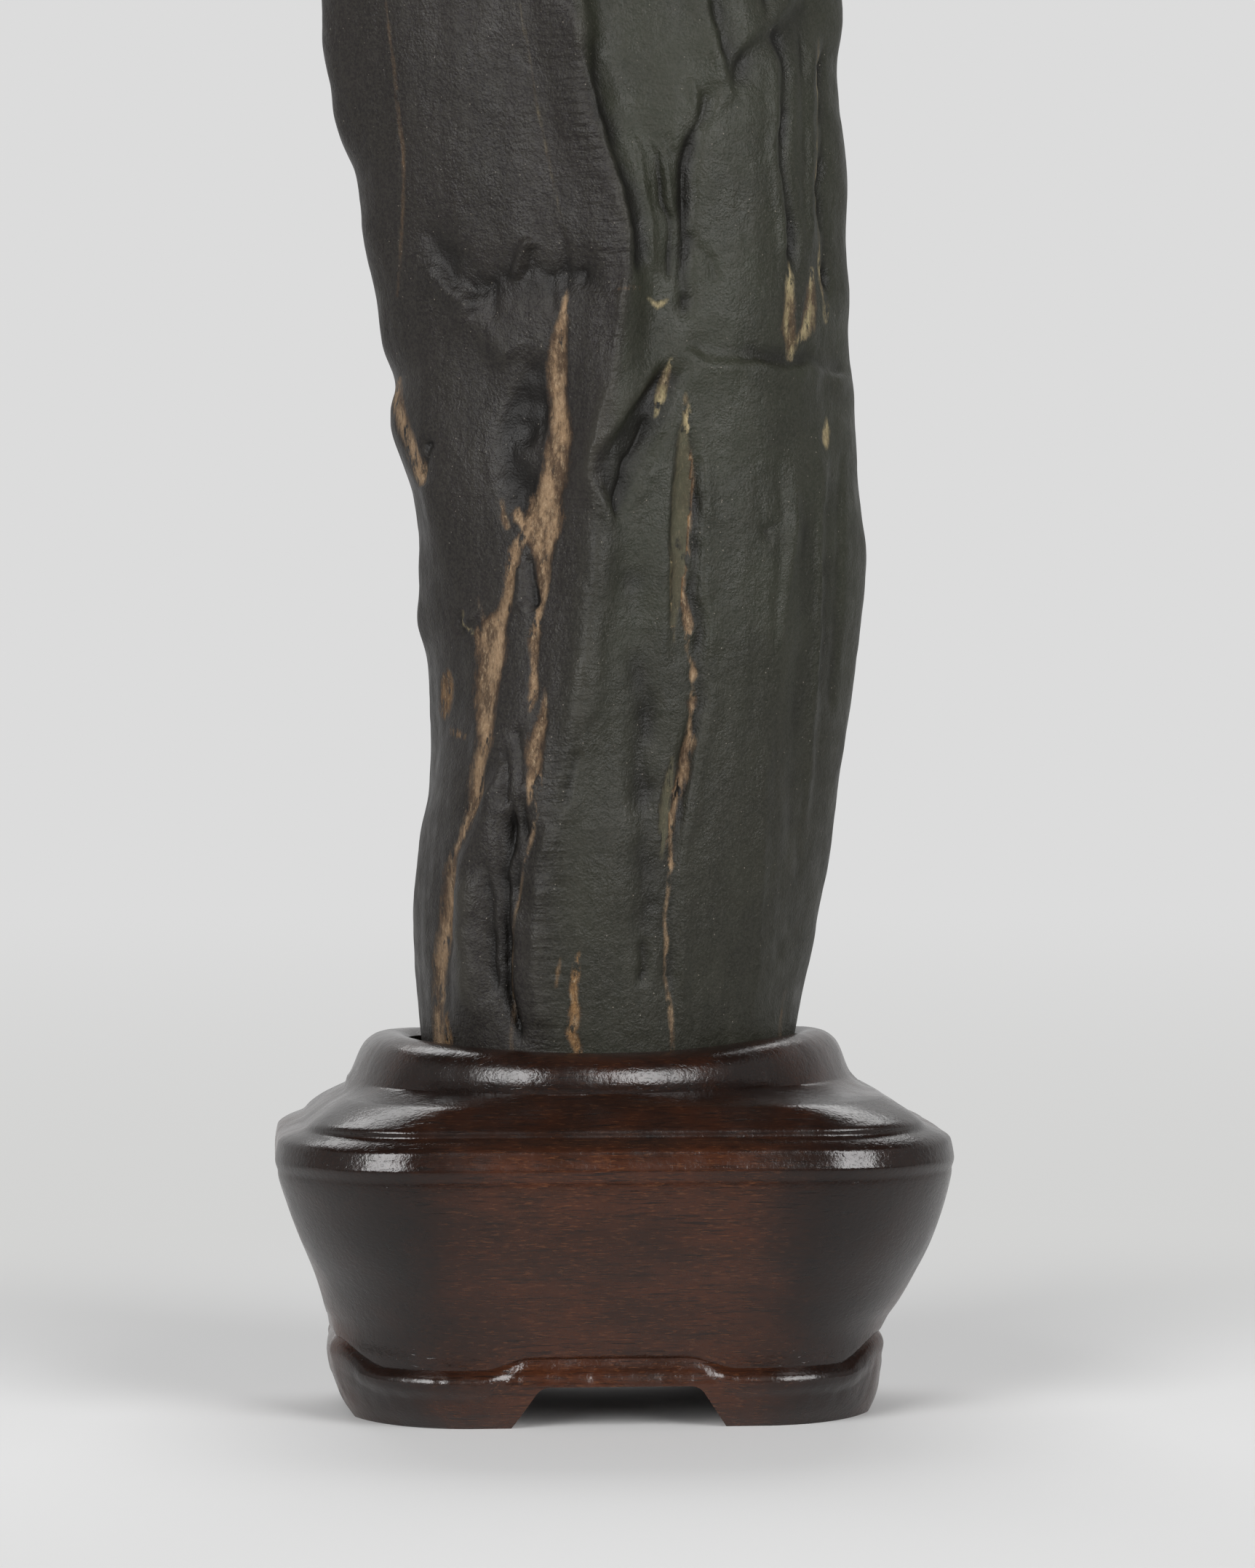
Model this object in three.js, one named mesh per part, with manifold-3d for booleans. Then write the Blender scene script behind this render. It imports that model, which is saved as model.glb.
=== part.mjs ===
// A scholar's rock standing in its carved wooden stand.
// Millimetres, +Z up, front towards -Y, +X to the right.
// Origin: the middle of the stand's underside, on the surface that it stands on.

import * as THREE from "three";
import { mergeVertices } from "three/addons/utils/BufferGeometryUtils.js";
import Module from "manifold-3d";

// ---- Driving dimensions ----

const STAND_COLUMNS = 64; // facets round the stand
const STONE_COLUMNS_PER_GUIDE = 4; // facets of the stone between two of its guides
const STONE_ROWS = 38; // levels up the stone, below its rounded top
const CAP_ROWS = 4; // levels in the rounded top

const STONE_FOOT = 57.0; // height of the stone's underside, in the socket
const STONE_TOP = 373; // height of the stone's tip
const STONE_TIP = [-14, 0]; // place of the tip in plan
const CAP_START = 364; // height at which the top begins to round over
const CONTACT = 70.5; // height at which the stone leaves the socket

const SEAT_GAP = 0.35; // clearance between the stone and its socket
const WIDE_GAP = 2.6; // clearance at the left end, where the carver cut too much
const RIM_FRONT = 70.3; // height of the socket's rim at the front and back
const RIM_ENDS = 72.0; // height of the rim at its left and right ends
const RING_WIDTH = 9.6; // how far the ring round the socket stands out from the stone
const RING_WIDTH_LEFT = 12.4; // the same at its left end
const RING_FOOT = 63.2; // height at which the ring rises from the plate

const NOTCH_HEIGHT = 8.1; // height of the gap between the feet
const NOTCH_FRONT = [20.2, 14.8]; // half-width of the front gap, at the floor and at its roof
const NOTCH_SIDE = [11.5, 8]; // half-width of the side gap, at the floor and at its roof
const NOTCH_RADIUS = 3.0; // rounding of the gap's upper corners
const NOTCH_REACH = 80; // how far each cut runs from the middle, past the faces
const NOTCH_BELOW = 2; // how far each cut runs below the feet

// The stand's profile below the ring: height, half-width, half-depth, and the corner radii
// along X and Y. Foot, foot roll, cove, flaring wall, shoulder roll, cove, plate.
const STAND_PROFILE = [
  [0, 51.0, 28.6, 24, 28.4],
  [3, 52.0, 30.9, 24.5, 28.6],
  [5.9, 52.7, 32.5, 25, 28.8],
  [8.2, 53.2, 33.4, 25, 29],
  [10, 53.6, 33.2, 25, 29],
  [13.4, 53.9, 32.3, 25, 29],
  [16, 53.6, 32.7, 25, 29],
  [21, 55.0, 34.9, 25.5, 29],
  [27, 57.3, 38.0, 26, 29],
  [34, 60.0, 42.0, 27, 28.5],
  [41, 62.2, 44.8, 28, 28],
  [46.5, 63.6, 46.4, 28, 28],
  [49.8, 64.0, 47.0, 28, 28],
  [52.5, 63.5, 46.6, 28, 28],
  [54.6, 61.6, 45.2, 27, 27],
  [55.6, 58.9, 43.8, 24, 24],
  [56.8, 57.4, 43.5, 21, 21],
  [58.4, 55.4, 42.0, 21, 21],
  [61.0, 51.0, 39.8, 24, 24],
];

// The ring round the socket: height, and distance out from the stone as a share of its width.
const RING_PROFILE = [
  [RING_FOOT, 1.0],
  [65.2, 1.03],
  [67.4, 1.0],
  [69.2, 0.84],
];

// Its top, which follows the rim: height above the rim, and the same share.
const RIM_PROFILE = [
  [-0.5, 0.62],
  [0, 0.38],
  [-0.3, 0.15],
];
const SOCKET_FLOOR = STONE_FOOT - 0.3;

// The stone's guides: lines that run up its faces and edges. Each is a list of points
// [height, x, y], and the order goes round the stone from its left edge over the front.
const STONE_GUIDES = {
  leftEdge: [
    [57, -34.6, 7], [70.5, -35.8, 7], [94, -37.4, 6], [112, -35.6, 5], [123, -33.4, 4],
    [134, -33.3, 4], [158, -36.4, 4], [173, -36.4, 5], [189, -41.4, 8], [198, -40.6, 6],
    [225, -46.8, 5], [239, -48.6, 5], [247, -51.8, 5], [261, -54.5, 5], [280, -55.6, 5],
    [300, -55, 4], [318, -51.5, 3], [334, -46, 2], [348, -39.5, 1], [364, -31, 0],
  ],
  leftFaceOuter: [
    [57, -32.4, -9], [70.5, -33.4, -9], [94, -34.5, -10], [112, -33, -10], [134, -30.5, -9],
    [158, -32, -8], [185, -36, -6], [200, -36, -6], [225, -40, -6], [261, -45, -7],
    [280, -46, -7], [310, -44, -7], [338, -37, -6], [355, -30, -5], [364, -26.5, -4.5],
  ],
  leftFace: [
    [57, -25.7, -21], [70.5, -26.5, -22], [94, -27.5, -23], [115, -26, -23], [140, -22, -21],
    [165, -22, -18], [185, -25, -15], [200, -25, -14.5], [215, -26, -15.5], [235, -28, -16],
    [262, -30, -17], [290, -31, -17], [320, -29, -15], [345, -24, -12], [364, -20, -8.5],
  ],
  leftFaceInner: [
    [57, -18, -26], [70.5, -18.4, -27], [94, -19, -28.5], [115, -18, -28.5], [140, -14.5, -26.5],
    [165, -13, -24], [185, -13, -22.5], [215, -12, -23], [240, -14, -23.5], [262, -17, -23.5],
    [290, -18, -23], [320, -19, -20], [345, -18, -15], [364, -16, -10.5],
  ],
  ridge: [
    [57, -10, -28], [70.5, -10, -29], [97, -10.5, -31], [131, -7.5, -31], [155, -4.6, -30.5],
    [184, -1.9, -29.5], [204, 0.4, -29.5], [217, 2.1, -29.5], [226, 1.5, -29], [246, -4.4, -28.5],
    [266, -8.3, -28], [285, -12, -27], [310, -15, -25], [335, -15, -21], [355, -13, -15],
    [364, -12, -11.5],
  ],
  valley: [
    [57, -2, -27], [70.5, -2, -28], [97, -2, -30], [131, -1, -29.5], [155, 1, -29],
    [175, 3, -27.5], [190, 5.5, -26], [215, 6.5, -25], [226, 6, -24.5], [246, 1, -24],
    [266, -3.5, -23.5], [290, -7, -22.5], [320, -9, -19], [345, -9.5, -14.5], [364, -9, -10],
  ],
  middleFace: [
    [57, 6.5, -24.6], [70.5, 6.7, -25.5], [97, 8, -27], [131, 9.5, -26.5], [155, 11, -26],
    [185, 13, -24.5], [205, 14.5, -23.5], [246, 12.5, -23], [266, 10, -22], [290, 7, -20.5],
    [320, 3, -17.5], [345, -2, -12.5], [364, -5, -8],
  ],
  rightFace: [
    [57, 17, -19], [70.5, 17.5, -20], [97, 21, -21], [131, 24, -21.5], [155, 26, -21],
    [185, 27.5, -19.5], [205, 28, -18.5], [246, 27, -18], [266, 25, -17.5], [290, 22, -16.5],
    [312, 17, -14.5], [328, 9, -12], [345, 3.5, -9], [364, -2, -5.5],
  ],
  rightFrontEdge: [
    [57, 29.5, -8], [70.5, 30.5, -8], [97, 34.5, -8], [131, 39, -8], [165, 42, -8],
    [198, 40.5, -7], [232, 39.5, -6.5], [266, 38, -6], [290, 34, -6.5], [310, 28, -6],
    [322, 18, -5], [338, 11, -4], [364, 0, -2.5],
  ],
  rightEdge: [
    [57, 35.4, 7.5], [70.5, 36.8, 7.5], [88, 40.6, 8], [109, 44, 8], [141, 48.4, 8],
    [157, 50.4, 8], [165, 50.5, 8], [179, 48.9, 8], [215, 47.5, 8], [246, 46.1, 8],
    [259, 44.9, 8], [267, 45.9, 8], [280, 45, 8], [295, 43.5, 7.5], [307, 39, 7],
    [315, 32, 6], [321, 25.5, 5], [330, 20, 4], [345, 14, 3], [356, 7, 2], [364, 1.5, 1],
  ],
  rightBackEdge: [
    [57, 33.4, 18], [70.5, 34.5, 18.5], [110, 38, 20], [150, 42, 21], [190, 41, 21],
    [230, 39, 21], [266, 37, 20], [295, 34, 18], [312, 26, 15], [322, 19, 12], [345, 9, 7.5],
    [364, -1, 4],
  ],
  backRight: [
    [57, 23, 27], [70.5, 24, 28], [110, 27, 30], [150, 29, 31], [190, 28, 30],
    [230, 27, 29], [266, 25, 27], [300, 20, 23], [325, 9, 17], [345, 2, 12.5], [364, -5, 7],
  ],
  backHollow: [
    [57, 8, 30], [70.5, 8.5, 31], [110, 10, 31], [150, 10, 29], [190, 9, 26],
    [230, 6, 25], [266, 3, 24], [300, -1, 21.5], [330, -5, 17], [350, -9, 12.5], [364, -11, 8.5],
  ],
  backLeft: [
    [57, -10, 30], [70.5, -10, 31], [110, -10, 33], [150, -11, 33], [190, -14, 31],
    [230, -18, 30], [266, -21, 28], [300, -22, 25], [330, -21, 19], [350, -19, 13.5],
    [364, -18, 9.5],
  ],
  leftBackEdge: [
    [57, -26, 25], [70.5, -27, 26], [110, -27, 27], [150, -27, 27], [190, -32, 26],
    [230, -37, 25], [266, -42, 23], [300, -42, 20], [330, -36, 15], [350, -30, 10.5],
    [364, -25, 7],
  ],
  leftBackCorner: [
    [57, -33, 17], [70.5, -34, 17.5], [110, -33.5, 18], [150, -33, 18], [190, -38.5, 18],
    [230, -44, 17], [266, -50, 16], [300, -50, 13.5], [330, -43, 10], [350, -35.5, 7],
    [364, -29, 4.5],
  ],
};

// ---- Materials ----

const stoneMaterial = new THREE.MeshStandardMaterial({ color: 0x3c3d39, roughness: 0.5, metalness: 0 });
stoneMaterial.name = "stone";
const woodMaterial = new THREE.MeshStandardMaterial({ color: 0x3e2920, roughness: 0.25, metalness: 0 });
woodMaterial.name = "wood";

// ---- Helpers ----

// A closed skin over rings of points that all have the same number of points. The first and
// the last ring are closed with a fan round a point of their own.
function loft(rings, firstPoint, lastPoint) {
  const count = rings[0].length;
  const points = [...rings.flat(), firstPoint, lastPoint];
  const first = points.length - 2;
  const last = points.length - 1;
  const lastRing = (rings.length - 1) * count;
  const index = [];
  rings.forEach((ring, level) => {
    for (let i = 0; i < count; i++) {
      const next = (i + 1) % count;
      const a = level * count + i;
      const b = level * count + next;
      if (level < rings.length - 1) index.push(a, b, b + count, a, b + count, a + count);
    }
  });
  for (let i = 0; i < count; i++) {
    const next = (i + 1) % count;
    index.push(first, next, i);
    index.push(last, lastRing + i, lastRing + next);
  }
  const geometry = new THREE.BufferGeometry();
  geometry.setAttribute("position", new THREE.Float32BufferAttribute(points.flat(), 3));
  geometry.setIndex(index);
  return geometry;
}

const wasm = await Module();
wasm.setup();

// A geometry as a solid that can be cut.
function solidOf(geometry) {
  const bare = new THREE.BufferGeometry();
  bare.setAttribute("position", geometry.getAttribute("position"));
  bare.setIndex(geometry.index);
  const merged = mergeVertices(bare, 1e-4);
  const mesh = new wasm.Mesh({
    numProp: 3,
    vertProperties: new Float32Array(merged.attributes.position.array),
    triVerts: new Uint32Array(merged.index.array),
  });
  return new wasm.Manifold(mesh);
}

// A solid as a geometry that can be shown.
function geometryOf(solid) {
  const mesh = solid.getMesh();
  const geometry = new THREE.BufferGeometry();
  geometry.setAttribute("position", new THREE.BufferAttribute(mesh.vertProperties, 3));
  geometry.setIndex(new THREE.BufferAttribute(mesh.triVerts, 1));
  geometry.computeVertexNormals();
  return geometry;
}

// ---- The stone ----

const guides = Object.values(STONE_GUIDES).map((points) => {
  const heights = points.map(([z]) => z);
  const places = points.flatMap(([, x, y]) => [x, y]);
  return new THREE.CubicInterpolant(heights, places, 2);
});

// The stone's outline at one height, as a closed curve through its guides.
function stoneOutline(z) {
  const points = guides.map((guide) => {
    const [x, y] = guide.evaluate(z);
    return new THREE.Vector3(x, y, z);
  });
  return new THREE.CatmullRomCurve3(points, true, "centripetal");
}

function stoneRing(z) {
  const outline = stoneOutline(z);
  const columns = guides.length * STONE_COLUMNS_PER_GUIDE;
  return Array.from({ length: columns }, (_, i) => outline.getPoint(i / columns).toArray());
}

function makeStone() {
  const rings = [];
  for (let row = 0; row < STONE_ROWS; row++) {
    rings.push(stoneRing(THREE.MathUtils.lerp(STONE_FOOT, CAP_START, row / (STONE_ROWS - 1))));
  }
  const shoulder = rings.at(-1);
  const [tipX, tipY] = STONE_TIP;
  for (let row = 1; row <= CAP_ROWS; row++) {
    const turn = (row / (CAP_ROWS + 1)) * (Math.PI / 2);
    const z = CAP_START + (STONE_TOP - CAP_START) * Math.sin(turn);
    const size = Math.cos(turn);
    rings.push(shoulder.map(([x, y]) => [tipX + (x - tipX) * size, tipY + (y - tipY) * size, z]));
  }
  return loft(rings, [0, 0, STONE_FOOT], [tipX, tipY, STONE_TOP]);
}

// ---- The stand ----

const angles = Array.from({ length: STAND_COLUMNS }, (_, i) => (2 * Math.PI * i) / STAND_COLUMNS);

// Distance from the middle to a rounded rectangle, in one direction.
function plateReach([, halfWidth, halfDepth, cornerX, cornerY], angle) {
  const dx = Math.abs(Math.cos(angle));
  const dy = Math.abs(Math.sin(angle));
  const flatX = halfWidth - cornerX;
  const flatY = halfDepth - cornerY;
  if (halfWidth * dy <= flatY * dx) return halfWidth / dx;
  if (halfDepth * dx <= flatX * dy) return halfDepth / dy;
  const a = (dx / cornerX) ** 2 + (dy / cornerY) ** 2;
  const b = (dx * flatX) / cornerX ** 2 + (dy * flatY) / cornerY ** 2;
  const c = (flatX / cornerX) ** 2 + (flatY / cornerY) ** 2 - 1;
  return (b + Math.sqrt(b * b - a * c)) / a;
}

// Distance from the middle to the stone where it leaves the socket, in one direction.
const contactPoints = stoneOutline(CONTACT).getPoints(720).slice(0, 720);
function stoneReach(angle) {
  let best = 0;
  let nearest = Infinity;
  for (const point of contactPoints) {
    const off = Math.abs(Math.sin((Math.atan2(point.y, point.x) - angle) / 2));
    if (off < nearest) {
      nearest = off;
      best = Math.hypot(point.x, point.y);
    }
  }
  return best;
}

// How much a direction faces left: 1 straight to the left, 0 over most of the way round.
function leftShare(angle) {
  return Math.max(0, -Math.cos(angle)) ** 6;
}

// The gap between stone and socket: even all round, and wider at the left end.
function seatGap(angle) {
  return THREE.MathUtils.lerp(SEAT_GAP, WIDE_GAP, leftShare(angle));
}

// How far the ring stands out from the stone in one direction.
function ringWidth(angle) {
  return THREE.MathUtils.lerp(RING_WIDTH, RING_WIDTH_LEFT, leftShare(angle));
}

function rimHeight(angle) {
  return THREE.MathUtils.lerp(RIM_FRONT, RIM_ENDS, Math.cos(angle) ** 2);
}

function makeStandBlock() {
  const ring = (reach, height) =>
    angles.map((angle) => {
      const r = reach(angle);
      return [r * Math.cos(angle), r * Math.sin(angle), height(angle)];
    });
  const outside = (share) => (angle) =>
    stoneReach(angle) + THREE.MathUtils.lerp(seatGap(angle), ringWidth(angle), share);
  const rings = STAND_PROFILE.map((section) => ring((angle) => plateReach(section, angle), () => section[0]));
  for (const [z, share] of RING_PROFILE) rings.push(ring(outside(share), () => z));
  for (const [drop, share] of RIM_PROFILE) {
    rings.push(ring(outside(share), (angle) => rimHeight(angle) + drop));
  }
  rings.push(ring(outside(0), (angle) => rimHeight(angle) - 1.2));
  rings.push(ring(outside(0), () => SOCKET_FLOOR));
  return loft(rings, [0, 0, 0], [0, 0, SOCKET_FLOOR]);
}

// The gap between two feet, as a bar with rounded upper corners that runs right through.
function makeNotch([floorHalf, roofHalf], turn) {
  const shape = new THREE.Shape();
  const slope = (floorHalf - roofHalf) / NOTCH_HEIGHT;
  const bottomHalf = floorHalf + slope * NOTCH_BELOW;
  const shoulderHalf = roofHalf + slope * NOTCH_RADIUS;
  const shoulder = NOTCH_HEIGHT - NOTCH_RADIUS;
  shape.moveTo(-bottomHalf, -NOTCH_BELOW);
  shape.lineTo(bottomHalf, -NOTCH_BELOW);
  shape.lineTo(shoulderHalf, shoulder);
  shape.quadraticCurveTo(roofHalf, NOTCH_HEIGHT, roofHalf - NOTCH_RADIUS, NOTCH_HEIGHT);
  shape.lineTo(-roofHalf + NOTCH_RADIUS, NOTCH_HEIGHT);
  shape.quadraticCurveTo(-roofHalf, NOTCH_HEIGHT, -shoulderHalf, shoulder);
  shape.closePath();
  const bar = new THREE.ExtrudeGeometry(shape, {
    depth: 2 * NOTCH_REACH,
    bevelEnabled: false,
    curveSegments: 4,
  });
  bar.translate(0, 0, -NOTCH_REACH);
  bar.rotateX(Math.PI / 2);
  bar.rotateZ(turn);
  return bar;
}

function makeStand() {
  const block = solidOf(makeStandBlock());
  const frontGap = solidOf(makeNotch(NOTCH_FRONT, 0));
  const sideGap = solidOf(makeNotch(NOTCH_SIDE, Math.PI / 2));
  return geometryOf(block.subtract(frontGap).subtract(sideGap));
}

// ---- The object ----

const rockAndStand = new THREE.Group();

const stone = new THREE.Mesh(makeStone(), stoneMaterial);
stone.name = "stone";
rockAndStand.add(stone);

const stand = new THREE.Mesh(makeStand(), woodMaterial);
stand.name = "stand";
rockAndStand.add(stand);

export default rockAndStand;
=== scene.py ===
# %% [markdown]
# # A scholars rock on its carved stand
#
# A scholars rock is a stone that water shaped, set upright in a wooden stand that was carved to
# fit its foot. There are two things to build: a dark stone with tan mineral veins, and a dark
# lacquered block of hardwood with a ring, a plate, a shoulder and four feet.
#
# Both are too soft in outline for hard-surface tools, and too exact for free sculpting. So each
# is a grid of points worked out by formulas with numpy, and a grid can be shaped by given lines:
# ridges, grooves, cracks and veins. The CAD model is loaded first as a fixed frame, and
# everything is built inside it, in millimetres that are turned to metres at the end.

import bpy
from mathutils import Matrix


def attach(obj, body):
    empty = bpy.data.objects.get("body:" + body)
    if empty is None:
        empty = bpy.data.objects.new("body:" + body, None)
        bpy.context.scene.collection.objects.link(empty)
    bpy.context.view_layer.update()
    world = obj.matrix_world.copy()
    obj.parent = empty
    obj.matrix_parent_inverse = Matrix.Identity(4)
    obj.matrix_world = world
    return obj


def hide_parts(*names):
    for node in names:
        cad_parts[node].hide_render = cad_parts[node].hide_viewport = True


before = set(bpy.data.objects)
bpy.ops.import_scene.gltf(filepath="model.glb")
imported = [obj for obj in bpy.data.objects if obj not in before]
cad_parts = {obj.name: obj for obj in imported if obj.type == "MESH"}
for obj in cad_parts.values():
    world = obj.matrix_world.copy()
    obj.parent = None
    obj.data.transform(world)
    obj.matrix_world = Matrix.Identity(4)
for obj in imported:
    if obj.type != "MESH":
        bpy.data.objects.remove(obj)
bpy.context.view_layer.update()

# %% Tools used throughout
import math

import bmesh
import bpy
import numpy as np
from mathutils import Vector

MM = 0.001  # one millimetre in Blender's metres
scene = bpy.context.scene
scene.view_settings.view_transform = "Standard"


def smooth(low, high, value):
    """0 below low, 1 above high, and an even S between them."""
    share = np.clip((value - low) / (high - low), 0, 1)
    return share * share * (3 - 2 * share)


def srgb(red, green, blue):
    """A screen colour, 0 to 255, as the linear colour with alpha that a shader takes."""
    shares = [value / 255 for value in (red, green, blue)]
    linear = [s / 12.92 if s <= 0.04045 else ((s + 0.055) / 1.055) ** 2.4 for s in shares]
    return (*linear, 1)


# %% [markdown]
# ## Camera
#
# A stone like this is best seen from straight in front through a long lens, a little above its
# stand, so that upright lines stay upright. A short lens close by would widen the stand and make
# the stone lean back. The camera stands 0.92 m away and a few degrees to the left, and the lens is
# long enough for the stand to fill half the width.

# %% Camera
CAMERA_PLACE = Vector((-0.06385, -0.91326, 0.13675))
CAMERA_TURN = (math.radians(88.94), 0, math.radians(-4.23))
LENS = 109.2

camera_data = bpy.data.cameras.new("camera")
camera_data.lens = LENS
camera_data.clip_start = 0.01
camera = bpy.data.objects.new("camera", camera_data)
camera.location = CAMERA_PLACE
camera.rotation_euler = CAMERA_TURN
scene.collection.objects.link(camera)
scene.camera = camera
print("camera at", tuple(round(v, 3) for v in CAMERA_PLACE), "with a lens of", LENS, "mm")

# %% [markdown]
# ## Studio
#
# Lacquer shows its surroundings, so the room matters as much as the lamps. This one is a pale
# sweep behind the object, two tall soft boxes in front, one on each side, and a dark ceiling. The
# dark gap between the boxes is what keeps the middle of the wood deep and red.
#
# The floor is a real pale disc near the object. Further out it fades to the plain tone of the
# sweep, so there is no horizon line from any side. In front it is dimmed, but only as the lacquer
# reflects it, because the walls slope down to it and would look grey.

# %% Tones of the studio
BACKDROP = srgb(220, 220, 220)
FLOOR_TONE = srgb(214, 214, 214)
FLOOR_FAR = srgb(211, 211, 210)
print("backdrop tone", round(BACKDROP[0], 2))


# %% Shader helpers
def node(tree, kind, **settings):
    """A shader node with its settings and the values of its unlinked sockets."""
    made = tree.nodes.new(kind)
    for name, value in settings.items():
        if hasattr(made, name):
            setattr(made, name, value)
        else:
            made.inputs[name.replace("_", " ")].default_value = value
    return made


def math_node(tree, operation, first, second=None, clamp=False):
    """Arithmetic on two sockets or numbers. The result is a socket."""
    made = node(tree, "ShaderNodeMath", operation=operation)
    made.use_clamp = clamp
    for socket, value in zip(made.inputs, (first, second)):
        if isinstance(value, bpy.types.NodeSocket):
            tree.links.new(value, socket)
        elif value is not None:
            socket.default_value = value
    return made.outputs[0]


def plus(tree, first, second):
    return math_node(tree, "ADD", first, second)


def minus(tree, first, second):
    return math_node(tree, "SUBTRACT", first, second)


def times(tree, first, second):
    return math_node(tree, "MULTIPLY", first, second)


def span(tree, value, low, high, out_low=0.0, out_high=1.0):
    """A socket's value mapped smoothly from one span to another."""
    made = node(tree, "ShaderNodeMapRange", interpolation_type="SMOOTHSTEP")
    tree.links.new(value, made.inputs["Value"])
    for name, number in zip(("From Min", "From Max", "To Min", "To Max"), (low, high, out_low, out_high)):
        made.inputs[name].default_value = number
    return made.outputs["Result"]


def blend(tree, factor, first, second):
    """Two colours mixed by a factor. Each is a socket, a number or a colour."""
    made = node(tree, "ShaderNodeMix", data_type="RGBA")
    for socket, value in zip((made.inputs[0], made.inputs[6], made.inputs[7]), (factor, first, second)):
        if isinstance(value, bpy.types.NodeSocket):
            tree.links.new(value, socket)
        else:
            socket.default_value = value
    return made.outputs[2]


# %% Room light
world = bpy.data.worlds.new("studio")
world.use_nodes = True
scene.world = world
room = world.node_tree
room.nodes.clear()
direction = node(room, "ShaderNodeSeparateXYZ")
room.links.new(node(room, "ShaderNodeTexCoord").outputs["Generated"], direction.inputs[0])
depthwise, upwards = direction.outputs["Y"], direction.outputs["Z"]
FRONT_GLOW, SIDE_GLOW, BACK_GLOW, CEILING_GLOW = 0.09, 0.40, 0.85, 0.08
sides = span(room, depthwise, -0.95, -0.1, FRONT_GLOW, SIDE_GLOW)
back = span(room, depthwise, 0.1, 0.6, 0.0, BACK_GLOW - SIDE_GLOW)
walls = plus(room, sides, back)
ceiling = span(room, upwards, 0.5, 0.72, 1.0, CEILING_GLOW)
glow = times(room, walls, ceiling)
surroundings = node(room, "ShaderNodeBackground")
room.links.new(glow, surroundings.inputs["Strength"])
plain = node(room, "ShaderNodeBackground", Color=BACKDROP)
seen = node(room, "ShaderNodeMixShader")
room.links.new(node(room, "ShaderNodeLightPath").outputs["Is Camera Ray"], seen.inputs[0])
room.links.new(surroundings.outputs[0], seen.inputs[1])
room.links.new(plain.outputs[0], seen.inputs[2])
room.links.new(seen.outputs[0], node(room, "ShaderNodeOutputWorld").inputs["Surface"])
print("room: front", FRONT_GLOW, "sides", SIDE_GLOW, "back", BACK_GLOW)


# %% Soft boxes
def soft_box(name, azimuth, elevation, distance, width, height, watts):
    """A rectangular lamp that faces the middle of the object. Azimuth 0 is straight in front."""
    data = bpy.data.lights.new(name, "AREA")
    data.shape = "RECTANGLE"
    data.size = width
    data.size_y = height
    data.energy = watts
    lamp = bpy.data.objects.new(name, data)
    a, e = math.radians(azimuth), math.radians(elevation)
    out = Vector((math.sin(a) * math.cos(e), -math.cos(a) * math.cos(e), math.sin(e)))
    lamp.location = AIM + out * distance
    lamp.rotation_euler = out.to_track_quat("Z", "Y").to_euler()
    lamp.visible_camera = False
    scene.collection.objects.link(lamp)


AIM = Vector((0, 0, 0.12))
soft_box("left_soft_box", -36, 22, 1.3, 0.60, 0.8, 15)
soft_box("right_soft_box", 36, 22, 1.3, 0.60, 0.8, 14)
soft_box("back_soft_box", 180, 50, 1.5, 1.6, 0.6, 12)

# %% Floor
FLOOR_RADIUS = 6.0
FLOOR_REAL = 0.11  # distance out to which the floor takes light and shadow
FLOOR_PLAIN = 0.34  # distance from which it only has the tone of the sweep
FLOOR_DIMMED = 0.88  # how much darker the floor in front shows in reflections
FLOOR_SIDES = 96
FLOOR_HORIZON = 2.2  # distance at which the floor has the tone of the backdrop
DIMMED_FROM = 0.25  # distance in front at which the dimming is full

rim_angles = [2 * math.pi * i / FLOOR_SIDES for i in range(FLOOR_SIDES)]
rim_points = [(FLOOR_RADIUS * math.cos(a), FLOOR_RADIUS * math.sin(a), 0) for a in rim_angles]
floor_mesh = bpy.data.meshes.new("floor")
floor_mesh.from_pydata(rim_points, [], [list(range(FLOOR_SIDES))])
floor = bpy.data.objects.new("floor", floor_mesh)
scene.collection.objects.link(floor)

print("floor disc of", FLOOR_RADIUS, "m")

# %% Floor material
paper = bpy.data.materials.new("pale_paper")
paper.use_nodes = True
tree = paper.node_tree
tree.nodes.clear()
lit = node(tree, "ShaderNodeBsdfDiffuse", Color=FLOOR_TONE)
distance = node(tree, "ShaderNodeVectorMath", operation="LENGTH")
tree.links.new(node(tree, "ShaderNodeTexCoord").outputs["Object"], distance.inputs[0])
flat = node(tree, "ShaderNodeEmission")
rising = span(tree, distance.outputs["Value"], FLOOR_REAL, FLOOR_HORIZON)
tree.links.new(blend(tree, rising, FLOOR_FAR, BACKDROP), flat.inputs["Color"])
far = span(tree, distance.outputs["Value"], FLOOR_REAL, FLOOR_PLAIN)
both = node(tree, "ShaderNodeMixShader")
tree.links.new(far, both.inputs[0])
tree.links.new(lit.outputs[0], both.inputs[1])
tree.links.new(flat.outputs[0], both.inputs[2])
along = node(tree, "ShaderNodeSeparateXYZ")
tree.links.new(node(tree, "ShaderNodeTexCoord").outputs["Object"], along.inputs[0])
in_front = span(tree, along.outputs["Y"], 0.0, -DIMMED_FROM, 0.0, FLOOR_DIMMED)
mirrored = times(tree, node(tree, "ShaderNodeLightPath").outputs["Is Glossy Ray"], in_front)
dimmed = node(tree, "ShaderNodeMixShader")
tree.links.new(mirrored, dimmed.inputs[0])
tree.links.new(both.outputs[0], dimmed.inputs[1])
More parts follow.
